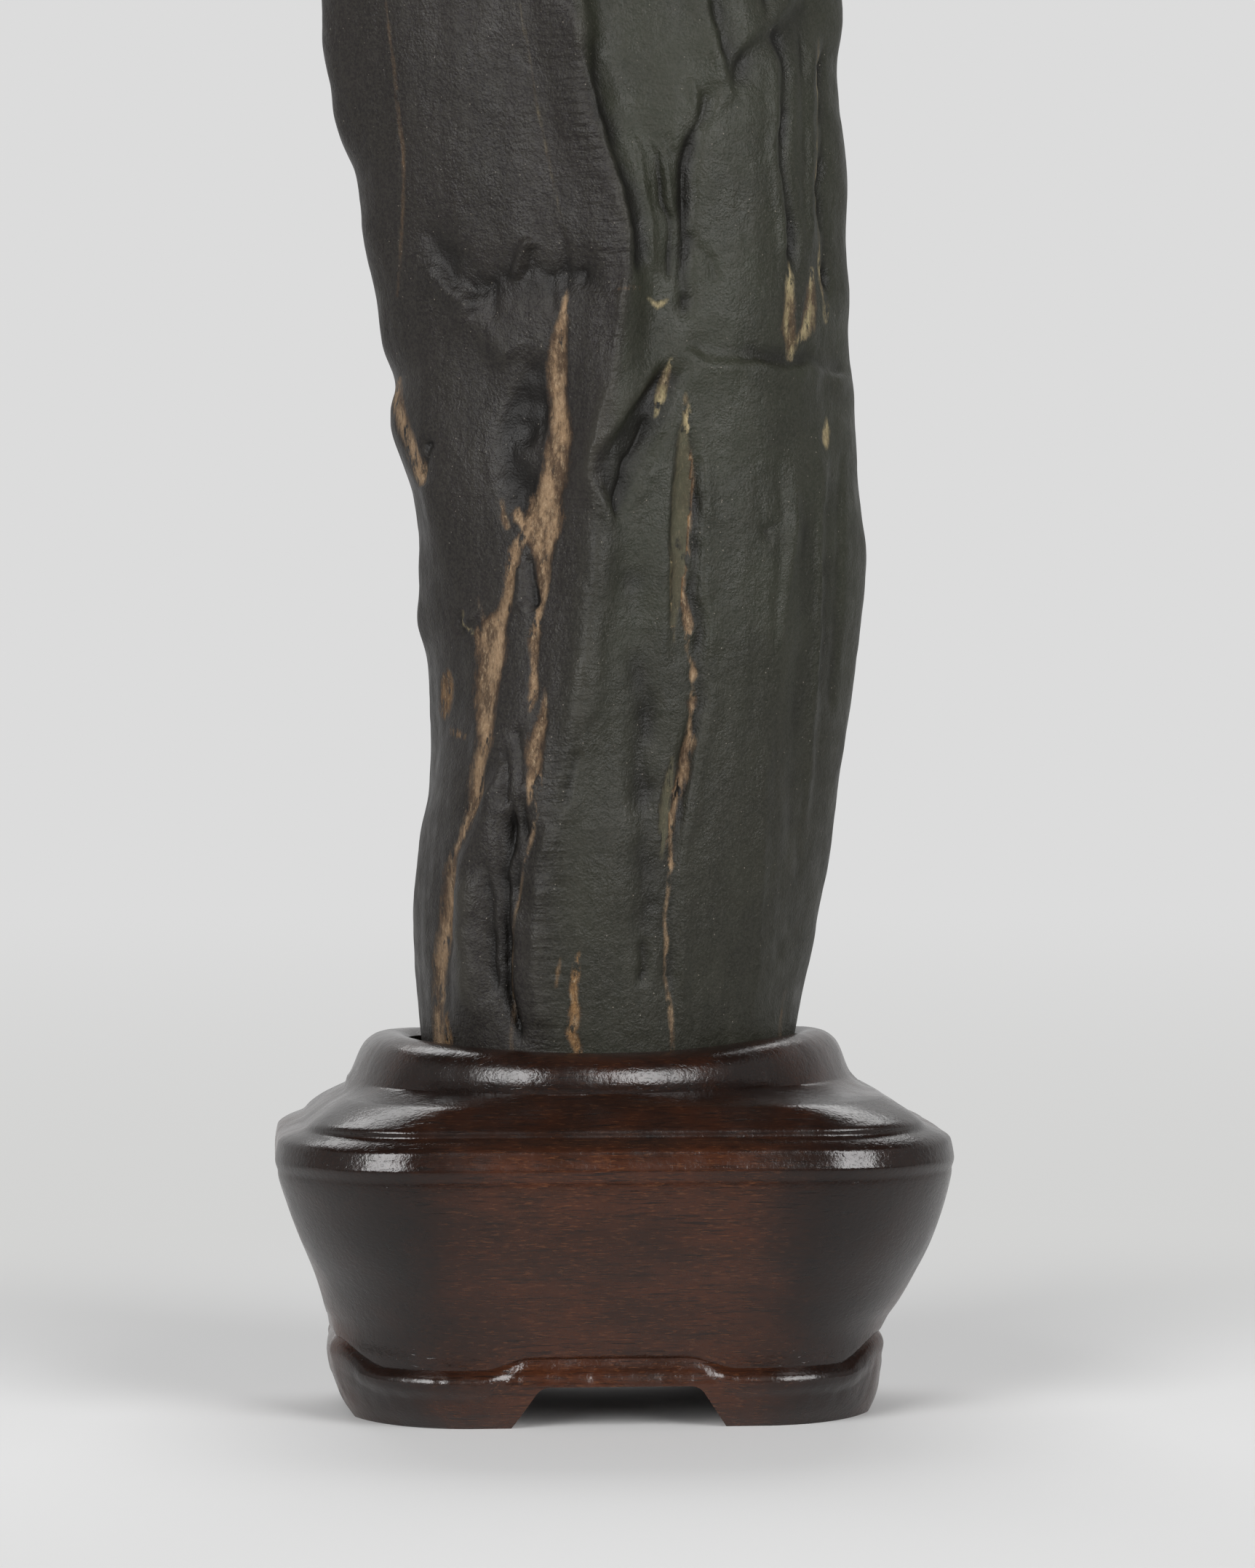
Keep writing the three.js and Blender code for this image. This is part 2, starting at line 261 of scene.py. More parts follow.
tree.links.new(node(tree, "ShaderNodeEmission", Strength=0.0).outputs[0], dimmed.inputs[2])
tree.links.new(dimmed.outputs[0], node(tree, "ShaderNodeOutputMaterial").inputs["Surface"])
floor_mesh.materials.append(paper)
print("floor: real to", FLOOR_REAL, "m, plain from", FLOOR_PLAIN, "m")

# %% [markdown]
# ## The stone's body
#
# The stone could be sculpted from a block, or built from flat cuts. Here it is a loft, because
# its character is in lines that run from foot to top: two edges, a ridge, a valley beside it and
# broad faces between. Each such line is a guide, given by a few points [height, x, y]. At any
# height a closed curve through all the guides is the stone's outline there.
#
# The camera sees the front, so most of the grid's columns go there, and the rows stand closer in
# the part that shows best.

# %% Guides of the stone
STONE_GUIDES = {
    "left_edge": [
        (57, -34.6, 7), (70.5, -35.8, 7), (81, -36.5, 6.5), (94, -37.4, 6), (105, -36.5, 5.5),
        (112, -35.6, 5), (117, -34.2, 4.5), (123, -33.3, 4), (134, -33.3, 4), (144, -34.5, 4),
        (151, -36.4, 4), (158, -36.2, 4), (173, -36.3, 5), (178, -37.9, 6), (183, -39.8, 7),
        (188.5, -41.5, 8), (192, -41.5, 8), (197.4, -40.4, 6), (203, -42.5, 5.5), (214, -44.4, 5),
        (225, -46.8, 5), (232, -47.4, 5), (238, -48.3, 5), (242, -50, 5), (246.5, -51.7, 5),
        (254, -53.1, 5), (261, -54.5, 5), (270, -54.8, 5), (280, -55.6, 5), (300, -55, 4),
        (318, -51.5, 3), (334, -46, 2), (348, -39.5, 1), (364, -31, 0),
    ],
    "left_face_outer": [
        (57, -32.4, -9), (70.5, -33.4, -9), (94, -34.5, -10), (112, -33, -10), (134, -30.5, -9),
        (158, -32, -8), (185, -36, -6), (200, -36, -6), (225, -40, -6), (261, -45, -7),
        (280, -46, -7), (310, -44, -7), (338, -37, -6), (355, -30, -5), (364, -26.5, -4.5),
    ],
    "left_face": [
        (57, -25.7, -21), (70.5, -26.5, -22), (94, -27.5, -23), (115, -26, -23), (140, -22, -21),
        (165, -22, -18), (185, -25, -15), (200, -25, -14.5), (215, -26, -15.5), (235, -28, -16),
        (262, -30, -17), (290, -31, -17), (320, -29, -15), (345, -24, -12), (364, -20, -8.5),
    ],
    "left_face_inner": [
        (57, -18, -26), (70.5, -18.4, -27), (94, -19, -28.5), (115, -18, -28.5), (140, -14.5, -26.5),
        (165, -13, -24), (185, -13, -22.5), (215, -12, -23), (240, -14, -23.5), (262, -17, -23.5),
        (290, -18, -23), (320, -19, -20), (345, -18, -15), (364, -16, -10.5),
    ],
    "ridge": [
        (57, -10, -28), (70.5, -10, -29), (97, -10.5, -31), (131, -7.5, -31), (155, -4.6, -30.5),
        (184, -1.9, -29.5), (204, 0.4, -29.5), (217, 2.1, -29.5), (226, 1.5, -29), (246, -4.4, -28.5),
        (266, -8.3, -28), (285, -12, -27), (310, -15, -25), (335, -15, -21), (355, -13, -15),
        (364, -12, -11.5),
    ],
    "valley": [
        (57, -2, -27), (70.5, -2, -28), (97, -2, -30), (131, -1, -29.5), (155, 1, -29),
        (175, 3, -27.5), (190, 5.5, -26), (215, 6.5, -25), (226, 6, -24.5), (246, 1, -24),
        (266, -3.5, -23.5), (290, -7, -22.5), (320, -9, -19), (345, -9.5, -14.5), (364, -9, -10),
    ],
    "middle_face": [
        (57, 6.5, -24.6), (70.5, 6.7, -25.5), (97, 8, -27), (131, 9.5, -26.5), (155, 11, -26),
        (185, 13, -24.5), (205, 14.5, -23.5), (246, 12.5, -23), (266, 10, -22), (290, 7, -20.5),
        (320, 3, -17.5), (345, -2, -12.5), (364, -5, -8),
    ],
    "right_face": [
        (57, 17, -19), (70.5, 17.5, -20), (97, 21, -21), (131, 24, -21.5), (155, 26, -21),
        (185, 27.5, -19.5), (205, 28, -18.5), (246, 27, -18), (266, 25, -17.5), (290, 22, -16.5),
        (312, 17, -14.5), (328, 9, -12), (345, 3.5, -9), (364, -2, -5.5),
    ],
    "right_front_edge": [
        (57, 29.5, -8), (70.5, 30.5, -8), (97, 34.5, -8), (131, 39, -8), (165, 42, -8),
        (198, 40.5, -7), (232, 39.5, -6.5), (266, 38, -6), (290, 34, -6.5), (310, 28, -6),
        (322, 18, -5), (338, 11, -4), (364, 0, -2.5),
    ],
    "right_edge": [
        (57, 35.4, 7.5), (70.5, 36.8, 7.5), (79.5, 38.3, 8), (88, 40.6, 8), (99, 42.4, 8),
        (109, 44, 8), (120, 45.3, 8), (131, 46.9, 8), (141, 48.4, 8), (149, 49.4, 8),
        (156, 50.2, 8), (165, 50.5, 8), (173, 49.6, 8), (179, 48.9, 8), (186, 48.8, 8),
        (198, 48.2, 8), (208, 47.2, 8), (215, 47.5, 8), (227, 46.8, 8), (232, 47, 8),
        (246, 46.1, 8), (252, 45.3, 8), (259, 44.9, 8), (267, 45.9, 8), (280, 45, 8),
        (295, 43.5, 7.5), (307, 39, 7), (315, 32, 6), (321, 25.5, 5), (330, 20, 4), (345, 14, 3),
        (356, 7, 2), (364, 1.5, 1),
    ],
    "right_back_edge": [
        (57, 33.4, 18), (70.5, 34.5, 18.5), (110, 38, 20), (150, 42, 21), (190, 41, 21),
        (230, 39, 21), (266, 37, 20), (295, 34, 18), (312, 26, 15), (322, 19, 12), (345, 9, 7.5),
        (364, -1, 4),
    ],
    "back_right": [
        (57, 23, 27), (70.5, 24, 28), (110, 27, 30), (150, 29, 31), (190, 28, 30),
        (230, 27, 29), (266, 25, 27), (300, 20, 23), (325, 9, 17), (345, 2, 12.5), (364, -5, 7),
    ],
    "back_hollow": [
        (57, 8, 30), (70.5, 8.5, 31), (110, 10, 31), (150, 10, 29), (190, 9, 26),
        (230, 6, 25), (266, 3, 24), (300, -1, 21.5), (330, -5, 17), (350, -9, 12.5), (364, -11, 8.5),
    ],
    "back_left": [
        (57, -10, 30), (70.5, -10, 31), (110, -10, 33), (150, -11, 33), (190, -14, 31),
        (230, -18, 30), (266, -21, 28), (300, -22, 25), (330, -21, 19), (350, -19, 13.5),
        (364, -18, 9.5),
    ],
    "left_back_edge": [
        (57, -26, 25), (70.5, -27, 26), (110, -27, 27), (150, -27, 27), (190, -32, 26),
        (230, -37, 25), (266, -42, 23), (300, -42, 20), (330, -36, 15), (350, -30, 10.5),
        (364, -25, 7),
    ],
    "left_back_corner": [
        (57, -33, 17), (70.5, -34, 17.5), (110, -33.5, 18), (150, -33, 18), (190, -38.5, 18),
        (230, -44, 17), (266, -50, 16), (300, -50, 13.5), (330, -43, 10), (350, -35.5, 7),
        (364, -29, 4.5),
    ],
}
STONE_FOOT = 57.0
CAP_START = 364.0
STONE_TIP = np.array([-14.0, 0.0, 373.0])
CONTACT = 70.5  # height at which the stone leaves its socket
print(len(STONE_GUIDES), "guides")


# %% Curves through points
def through(knots, values, at):
    """A smooth curve through values at rising knots, read at other places."""
    knots, values = np.asarray(knots, float), np.asarray(values, float)
    slopes = np.gradient(values, knots, axis=0)
    index = np.clip(np.searchsorted(knots, at) - 1, 0, len(knots) - 2)
    width = (knots[index + 1] - knots[index])[:, None]
    t = ((np.clip(at, knots[0], knots[-1]) - knots[index]) / width[:, 0])[:, None]
    start, end = values[index], values[index + 1]
    rise, fall = slopes[index] * width, slopes[index + 1] * width
    return (
        (2 * t**3 - 3 * t**2 + 1) * start
        + (t**3 - 2 * t**2 + t) * rise
        + (3 * t**2 - 2 * t**3) * end
        + (t**3 - t**2) * fall
    )


def closed_outlines(corners, counts):
    """Closed curves through corners [row, corner, xy], with counts[i] points after corner i.
    The knots are spaced by the root of the distance, so that the curve never loops."""
    around = corners.shape[1]
    pieces = []
    for i in range(around):
        p0, p1, p2, p3 = (corners[:, (i + step) % around] for step in (-1, 0, 1, 2))
        legs = [np.linalg.norm(b - a, axis=1) for a, b in ((p0, p1), (p1, p2), (p2, p3))]
        d0, d1, d2 = (np.sqrt(leg)[:, None] for leg in legs)
        leave = ((p1 - p0) / d0 - (p2 - p0) / (d0 + d1) + (p2 - p1) / d1) * d1
        arrive = ((p2 - p1) / d1 - (p3 - p1) / (d1 + d2) + (p3 - p2) / d2) * d1
        for k in range(counts[i]):
            t = k / counts[i]
            pieces.append(
                (2 * t**3 - 3 * t**2 + 1) * p1
                + (t**3 - 2 * t**2 + t) * leave
                + (3 * t**2 - 2 * t**3) * p2
                + (t**3 - t**2) * arrive
            )
    return np.stack(pieces, axis=1)


def stone_outlines(heights, counts):
    """The stone's outline at each height, as [row, column, xyz]."""
    corners = np.stack(
        [through([p[0] for p in g], [p[1:] for p in g], heights) for g in STONE_GUIDES.values()],
        axis=1,
    )
    flat_points = closed_outlines(corners, counts)
    z = np.repeat(heights[:, None], flat_points.shape[1], axis=1)
    return np.dstack([flat_points, z])


# %% The stone's grid
COLUMNS = {
    "left_edge": 20, "left_face_outer": 24, "left_face": 20, "left_face_inner": 26, "ridge": 24,
    "valley": 24, "middle_face": 28, "right_face": 26, "right_front_edge": 24, "right_edge": 12,
    "right_back_edge": 10, "back_right": 12, "back_hollow": 12, "back_left": 12,
    "left_back_edge": 10, "left_back_corner": 12,
}
row_heights = np.concatenate([
    np.linspace(STONE_FOOT, 68, 5, endpoint=False),
    np.linspace(68, 165, 112, endpoint=False),
    np.linspace(165, 268, 150, endpoint=False),
    np.linspace(268, CAP_START, 48),
])
CAP_ROWS = 10
CAP_ROUNDNESS = 2.2  # 1 is a cone, and more is blunter
body = stone_outlines(row_heights, [COLUMNS[name] for name in STONE_GUIDES])
RIDGE_COLUMN = sum(list(COLUMNS.values())[:list(COLUMNS).index("ridge")])
cap_shares = np.linspace(0, 1, CAP_ROWS + 1)[1:-1]
cap_heights = CAP_START + (STONE_TIP[2] - CAP_START) * (1 - (1 - cap_shares) ** CAP_ROUNDNESS)
cap = [
    np.dstack([
        STONE_TIP[:2] + (body[-1:, :, :2] - STONE_TIP[:2]) * (1 - share),
        np.full((1, body.shape[1], 1), height),
    ])
    for share, height in zip(cap_shares, cap_heights)
]
stone_points = np.concatenate([body, *cap])
print("stone grid:", stone_points.shape[0], "rows of", stone_points.shape[1])


def grid_normals(points):
    """Unit normals of a grid that closes round its columns, facing out."""
    around = np.roll(points, -1, axis=1) - np.roll(points, 1, axis=1)
    up = np.gradient(points, axis=0)
    normals = np.cross(around, up)
    return normals / np.maximum(np.linalg.norm(normals, axis=2, keepdims=True), 1e-9)


stone_normals = grid_normals(stone_points)

# %% [markdown]
# ## Ridges, grooves and cracks
#
# Water leaves few smooth faces on such a stone. It has a sharp ridge, long flutes, cracks that
# follow its weak layers, and one scarp where a slab came off. They could be sculpted with a brush.
# Here each is a stroke: a line of [x, height] points on the front or the back, with a kind, a
# depth and a width. The surface moves out or in along its own normal near the line.
#
# The strokes fade at their ends, and on faces that turn away from the side they were drawn on.

# %% Strokes on the front
GROOVE, CRACK, RIDGE, CREST, STEP = "groove", "crack", "ridge", "crest", "step"
FRONT_STROKES = [
    # the main ridge and what runs beside it
    (CREST, 1.5, 1.7, [(-7.5, 272), (-7, 256.5), (-5, 250), (-3.5, 242.5), (-1.5, 236.5), (0.5, 229.5),
                       (1.5, 223.5), (1.5, 216.5), (0.5, 208.5), (-0.5, 200.5), (-1.5, 194),
                       (-3.5, 187.5), (-4.5, 178.5), (-3.5, 168)]),
    (RIDGE, 0.7, 2.6, [(-3.5, 172.5), (-4.5, 155), (-8, 131), (-10, 117), (-15, 97)]),
    (GROOVE, 1.3, 1.9, [(-4.5, 262), (-3.3, 246), (-0.8, 240.5), (1.3, 234), (3, 228), (3.8, 222),
                        (3.3, 212)]),
    (RIDGE, 0.7, 1.3, [(2.5, 243), (3.6, 238), (4.9, 231), (6.1, 225), (6.1, 215)]),
    (CRACK, 1.1, 0.8, [(7.4, 241), (7.9, 234.5), (8.7, 229.5), (9.7, 225.5), (9.9, 219), (9.5, 213)]),
    (RIDGE, 0.6, 0.9, [(8.3, 241), (9.1, 235.5), (10, 231), (10.6, 226)]),
    (CRACK, 0.5, 0.6, [(9, 242), (9.6, 240), (10.8, 237)]),
    # the upper part: the same lines run on to the tip
    (CREST, 1.2, 2.2, [(-6, 256), (-8, 272), (-12, 290), (-15, 312), (-14.5, 335), (-13, 358)]),
    (GROOVE, 1.2, 2.4, [(-3.5, 262), (-5, 280), (-8, 300), (-9.5, 322), (-9.5, 346)]),
    (GROOVE, 1.0, 1.6, [(13, 264), (12, 282), (8, 300), (5, 318), (0, 338)]),
    (STEP, -1.0, 1.4, [(30, 300), (22, 296), (14, 299), (6, 296)]),
    (CRACK, 0.9, 0.9, [(30, 262), (28, 280), (24, 298), (17, 314)]),
    (GROOVE, 1.1, 2.6, [(-45, 276), (-40, 290), (-36, 308), (-31, 326), (-27, 346)]),
    (CRACK, 0.8, 0.8, [(-30, 283), (-28, 298), (-26, 316), (-23, 334)]),
    (STEP, 1.0, 1.5, [(-42, 318), (-32, 312), (-22, 317), (-15, 314)]),
    # upper right: grooves, a notch and a fold
    (GROOVE, 1.3, 1.6, [(16.8, 253), (17.2, 249), (15.9, 245.5), (14.2, 242), (13.2, 238.5), (12.9, 233.5),
                        (12.9, 225), (12.9, 217), (12.7, 205)]),
    (CRACK, 0.6, 0.7, [(15.9, 245.5), (14.2, 242), (13.2, 238.5), (12.9, 233.5), (12.9, 225), (13, 215)]),
    (RIDGE, 0.6, 0.9, [(14, 253), (14.9, 246.5), (13.2, 240)]),
    (RIDGE, 0.5, 1.1, [(22.5, 250.5), (19.4, 248.6), (18.3, 245)]),
    (CRACK, 0.8, 0.8, [(13.3, 224), (15.4, 221), (18, 219), (19.5, 214)]),
    (STEP, 0.9, 1.3, [(16.8, 272), (17.8, 267.5), (18.6, 264.3), (19.7, 261), (20.8, 256.7), (22, 250)]),
    (CRACK, 0.7, 0.7, [(16.8, 272), (17.8, 267.5), (18.6, 264.3), (19.7, 261), (20.8, 256.7), (22, 250)]),
    (STEP, -0.8, 1.6, [(21.7, 249), (23.1, 254.6), (24.2, 257.4), (26.6, 259.9), (31.4, 263.2), (34.6, 267),
                       (38, 272)]),
    (CRACK, 0.6, 0.9, [(21.7, 249), (23.1, 254.6), (24.2, 257.4), (26.6, 259.9), (31.4, 263.2), (34.6, 267),
                       (38, 272)]),
    (GROOVE, 1.3, 1.2, [(30.4, 266), (32.2, 261), (32.9, 256), (32.7, 247.5), (32.5, 239), (33.4, 231),
                        (34.1, 224.5), (34.8, 214)]),
    (RIDGE, 0.7, 1.2, [(30.2, 262), (30.7, 254), (30.5, 246), (30.8, 236), (32, 226), (33, 216)]),
    (CRACK, 0.6, 0.8, [(36.5, 267), (37, 252.5), (37, 239), (37.5, 224)]),
    (CRACK, 1.2, 0.9, [(41.5, 264), (41.2, 256), (41.2, 244), (40.6, 233), (41.6, 222), (42.6, 210)]),
    (RIDGE, 0.6, 1.0, [(39, 264), (38.8, 248), (38.2, 234), (39.4, 220)]),
    (CRACK, 0.8, 0.9, [(21.5, 199.5), (27, 200), (33, 199.5), (41, 200), (48, 199)]),
    (STEP, 0.8, 1.4, [(10, 203), (18, 200), (27, 200), (33, 199.5), (41, 200), (50, 199)]),
    # the broken band between the scarp and the fork of the vein
    (STEP, 0.9, 1.2, [(10, 201), (8.3, 198.9), (4.1, 193.3), (-0.2, 186.4), (-3.4, 181.7), (-4, 178.3),
                      (-1.8, 172.9), (0, 168)]),
    (STEP, -0.6, 1.3, [(13.5, 200), (12.8, 197.4), (11.1, 190.8), (7.6, 183.9), (3, 175.4), (-0.7, 170)]),
    (GROOVE, 0.4, 2.4, [(9, 197), (4.5, 188), (1, 181), (-0.5, 174)]),
    (CRACK, 0.9, 0.7, [(6.5, 190), (4.8, 185.9), (3, 182.5), (1, 178.3), (-0.7, 172.9), (-0.9, 169)]),
    (GROOVE, 0.75, 4.4, [(-40, 227), (-33, 219.5), (-28, 215.5), (-25, 213), (-21, 214), (-15.5, 215),
                        (-8, 215.5), (-4, 216), (2, 214.5)]),
    (STEP, 0.3, 1.4, [(-38, 226), (-35.2, 222.8), (-33.3, 220), (-30.9, 216.6), (-28, 214.3), (-25, 213),
                      (-22.9, 214.6), (-20.2, 215)]),
    (CRACK, 0.2, 0.8, [(-35.2, 222.8), (-33.3, 220), (-30.9, 216.6), (-28, 214.3), (-25, 213),
                       (-22.9, 214.6),
                        (-20.2, 215)]),
    (CRACK, 0.35, 0.9, [(-16.5, 217.6), (-13.3, 215.8), (-9, 215.6), (-5, 216.4)]),
    (CRACK, 0.4, 0.5, [(-30.9, 217), (-30.2, 213.6)]),
    (CRACK, 0.5, 0.5, [(-27.4, 215), (-26.2, 208)]),
    (CRACK, 0.5, 0.5, [(-23, 215.2), (-22.4, 207)]),
    (CRACK, 0.5, 0.5, [(-12.8, 216.4), (-12.2, 208)]),
    (CRACK, 0.4, 0.5, [(-6.8, 217), (-6.6, 213)]),
    (RIDGE, 0.8, 1.8, [(-36, 219), (-31, 213), (-25, 209.5)]),
    (RIDGE, 1.0, 1.0, [(-19.6, 215), (-18.6, 217.6), (-17.2, 220.6), (-16, 222.6)]),
    (CRACK, 0.5, 0.7, [(-16, 221), (-16.4, 218.4), (-17.6, 215.4)]),
    (CRACK, 0.5, 0.8, [(-18.6, 221), (-20, 217.6), (-21, 214.6)]),
    (CRACK, 0.4, 0.6, [(-10.5, 225), (-10, 219.5), (-9.8, 211)]),
    (RIDGE, 0.8, 3.0, [(-31, 210), (-24, 205), (-19, 200)]),
    (GROOVE, 1.5, 3.2, [(-14.5, 202), (-16, 195), (-18, 189), (-19.3, 183), (-18.6, 177), (-17, 169)]),
    (GROOVE, 0.6, 1.5, [(-17, 190), (-16.6, 184), (-16.4, 180), (-16.8, 173)]),
    (CRACK, 0.7, 0.8, [(-13.8, 196), (-14, 190), (-14.4, 184), (-15, 178.5), (-17, 174.5)]),
    (RIDGE, 1.0, 1.6, [(-43, 202), (-42, 189), (-39, 181), (-36.5, 175)]),
    (CRACK, 1.3, 0.9, [(-34.8, 186), (-35.2, 181), (-36, 176)]),
    (GROOVE, 1.5, 0.9, [(-16.7, 163.5), (-16.3, 160), (-15.8, 157), (-15, 153)]),
    (RIDGE, 0.9, 1.1, [(-17.8, 162), (-18, 158.5), (-18.4, 153)]),
    (CRACK, 0.9, 0.8, [(-28.9, 154), (-29.2, 150.5), (-27.6, 148.5)]),
    (RIDGE, 0.8, 1.8, [(-28, 152.5), (-26.5, 151)]),
    # lower left: cracks beside pillars
    (CRACK, 1.0, 0.7, [(-18.7, 131.5), (-18.9, 128), (-18.7, 124), (-18.6, 119.5)]),
    (CRACK, 1.0, 0.8, [(-21.8, 127.5), (-21.2, 123.5), (-21, 119.5), (-20.8, 116)]),
    (CRACK, 2.2, 0.8, [(-19.2, 119), (-20.1, 114), (-20.4, 110), (-21.3, 105), (-21.7, 101.5), (-21.5, 97),
                       (-21.5, 92), (-21, 85), (-20.3, 79), (-19.4, 76), (-18.8, 69)]),
    (CRACK, 1.2, 0.9, [(-25, 107), (-24.5, 100.5), (-24.1, 96), (-24.1, 90.5), (-23.7, 86), (-22.3, 80)]),
    (CRACK, 1.0, 0.7, [(-17.9, 118.5), (-17.7, 114), (-17.5, 110)]),
    (CRACK, 1.2, 0.8, [(-18.8, 107), (-19.3, 103), (-19.7, 96)]),
    (STEP, -0.9, 1.3, [(-21.5, 128), (-23.1, 123.5), (-25.8, 116.5), (-28, 110), (-29.7, 104.5), (-30.4, 96),
                       (-31, 84), (-30.5, 72)]),
    (RIDGE, 0.9, 1.8, [(-27.5, 105), (-27.5, 90), (-26.5, 74)]),
    (RIDGE, 0.7, 2.4, [(-14.5, 105), (-15.5, 90.5), (-14.5, 73.5)]),
    (GROOVE, 0.7, 1.1, [(-8, 127), (-9.3, 121), (-11, 115.5)]),
    (STEP, -0.6, 1.4, [(-13.5, 113), (-14.9, 109.5), (-16.6, 105), (-17.3, 98)]),
    # lower right: a raised broad face beside the olive strip
    (STEP, -0.9, 0.9, [(14, 190), (15, 180), (15.3, 168), (15.5, 163), (14.7, 156), (16.2, 150), (15.7, 146),
                       (15.7, 141), (15.8, 135), (14.8, 130), (13, 119), (11.4, 107), (11, 92), (11.4, 71)]),
    (CRACK, 0.9, 0.8, [(14.8, 184), (15.2, 176), (15.2, 168), (15.4, 163), (14.7, 156), (16.3, 150.5),
                       (15.7, 146), (15.7, 141), (15.8, 135), (14.6, 130), (12.6, 119), (11, 107)]),
    (STEP, 0.5, 1.0, [(11.6, 184), (10.4, 171), (9.9, 159), (10, 152), (9.4, 141)]),
    (GROOVE, 0.9, 3.0, [(2, 167), (3, 153.5), (5, 134.5), (5, 115.5), (5.5, 103), (5, 86)]),
    (GROOVE, 0.7, 1.2, [(4.8, 91), (5.2, 87), (4.6, 83)]),
    (GROOVE, 0.4, 1.2, [(32, 91), (32, 86)]),
    (CREST, 0.7, 1.9, [(34, 187), (34.3, 178.5), (34.3, 171), (33.3, 161.5), (32.3, 152.5), (30.4, 143.5),
                       (29.5, 132), (28, 115), (27.5, 92), (26, 72)]),
    (GROOVE, 0.6, 1.6, [(37, 178), (36.8, 160), (36, 143), (35, 124), (34, 104)]),
    (STEP, 0.7, 1.0, [(42, 186), (41, 173.5), (40.5, 158), (39.9, 146), (39.3, 130), (38, 112)]),
    (RIDGE, 0.3, 3.0, [(-7, 160), (-7, 138)]),
    (CRACK, 0.6, 0.7, [(31, 169.5), (29.3, 168.7), (28.7, 166.6), (29.8, 165.3)]),
    (GROOVE, 0.3, 0.8, [(31.5, 184), (31.6, 166), (30.4, 148), (28.6, 124)]),
    (GROOVE, 0.35, 0.8, [(39, 180), (38.6, 160), (37.8, 142), (36.6, 118), (35.6, 96)]),
    (GROOVE, 0.3, 0.7, [(45, 190), (44.4, 172), (43.6, 152), (42.2, 128)]),
]


# %% Strokes on the back
BACK_STROKES = [
    (RIDGE, 1.3, 2.6, [(-18, 290), (-20, 312), (-19, 334), (-16, 356)]),
    (GROOVE, 1.3, 2.2, [(-30, 286), (-33, 306), (-30, 326), (-25, 346)]),
    (STEP, 1.2, 1.5, [(30, 290), (18, 296), (4, 292), (-10, 299)]),
    (STEP, -1.0, 1.4, [(-46, 312), (-34, 318), (-22, 314)]),
    (CRACK, 0.9, 1.0, [(14, 322), (8, 306), (10, 288), (7, 270)]),
    (RIDGE, 1.1, 2.4, [(-20, 300), (-16, 262), (-19, 222), (-13, 184), (-12, 140), (-15, 96)]),
    (GROOVE, 1.5, 2.2, [(8, 318), (4, 280), (6, 240), (3, 200), (8, 160), (6, 118), (9, 80)]),
    (GROOVE, 1.1, 1.0, [(-33, 290), (-35, 252), (-30, 214), (-31, 176)]),
    (GROOVE, 1.0, 0.9, [(-4, 232), (-8, 204), (-5, 176), (-9, 150)]),
    (STEP, 1.2, 0.9, [(-42, 236), (-30, 229), (-18, 231), (-4, 225), (10, 228)]),
    (STEP, -1.0, 1.0, [(2, 172), (14, 166), (26, 168), (40, 161)]),
    (RIDGE, 1.0, 2.0, [(26, 296), (28, 250), (24, 206), (28, 160), (25, 112), (22, 76)]),
    (GROOVE, 1.0, 1.2, [(17, 292), (19, 254), (16, 216)]),
    (GROOVE, 1.3, 0.9, [(-22, 130), (-24, 108), (-20, 86), (-22, 72)]),
    (GROOVE, 1.0, 1.4, [(34, 150), (33, 122), (30, 98)]),
    (GROOVE, 1.7, 1.9, [(-8, 118), (-5, 110), (-8, 102)]),
]


# %% How far each point is from a line
def line_distance(x, z, path, values=None):
    """Signed distance to a smooth line through path, the share of the way along it, and the
    values of the path's points there. Points left of the line, seen walking along it, are negative."""
    path = np.asarray(path, float)
    steps = np.concatenate([[0], np.cumsum(np.linalg.norm(np.diff(path, axis=0), axis=1))])
    fine_at = np.linspace(0, steps[-1], max(3, int(steps[-1] / 1.5)))
    fine = through(steps, path, fine_at) if len(path) > 2 else np.column_stack(
        [np.interp(fine_at, steps, path[:, i]) for i in range(2)]
    )
    nearest = np.full(x.shape, np.inf)
    signed = np.zeros(x.shape)
    along = np.zeros(x.shape)
    for (ax, az), (bx, bz), start, end in zip(fine[:-1], fine[1:], fine_at[:-1], fine_at[1:]):
        dx, dz = bx - ax, bz - az
        length2 = dx * dx + dz * dz
        t = np.clip(((x - ax) * dx + (z - az) * dz) / length2, 0, 1)
        away = np.hypot(x - ax - t * dx, z - az - t * dz)
        closer = away < nearest
        side = np.sign(dx * (z - az) - dz * (x - ax))
        nearest = np.where(closer, away, nearest)
        signed = np.where(closer, -side * away, signed)
        along = np.where(closer, (start + t * (end - start)) / steps[-1], along)
    carried = None if values is None else np.interp(along * steps[-1], steps, values)
    return signed, along, carried


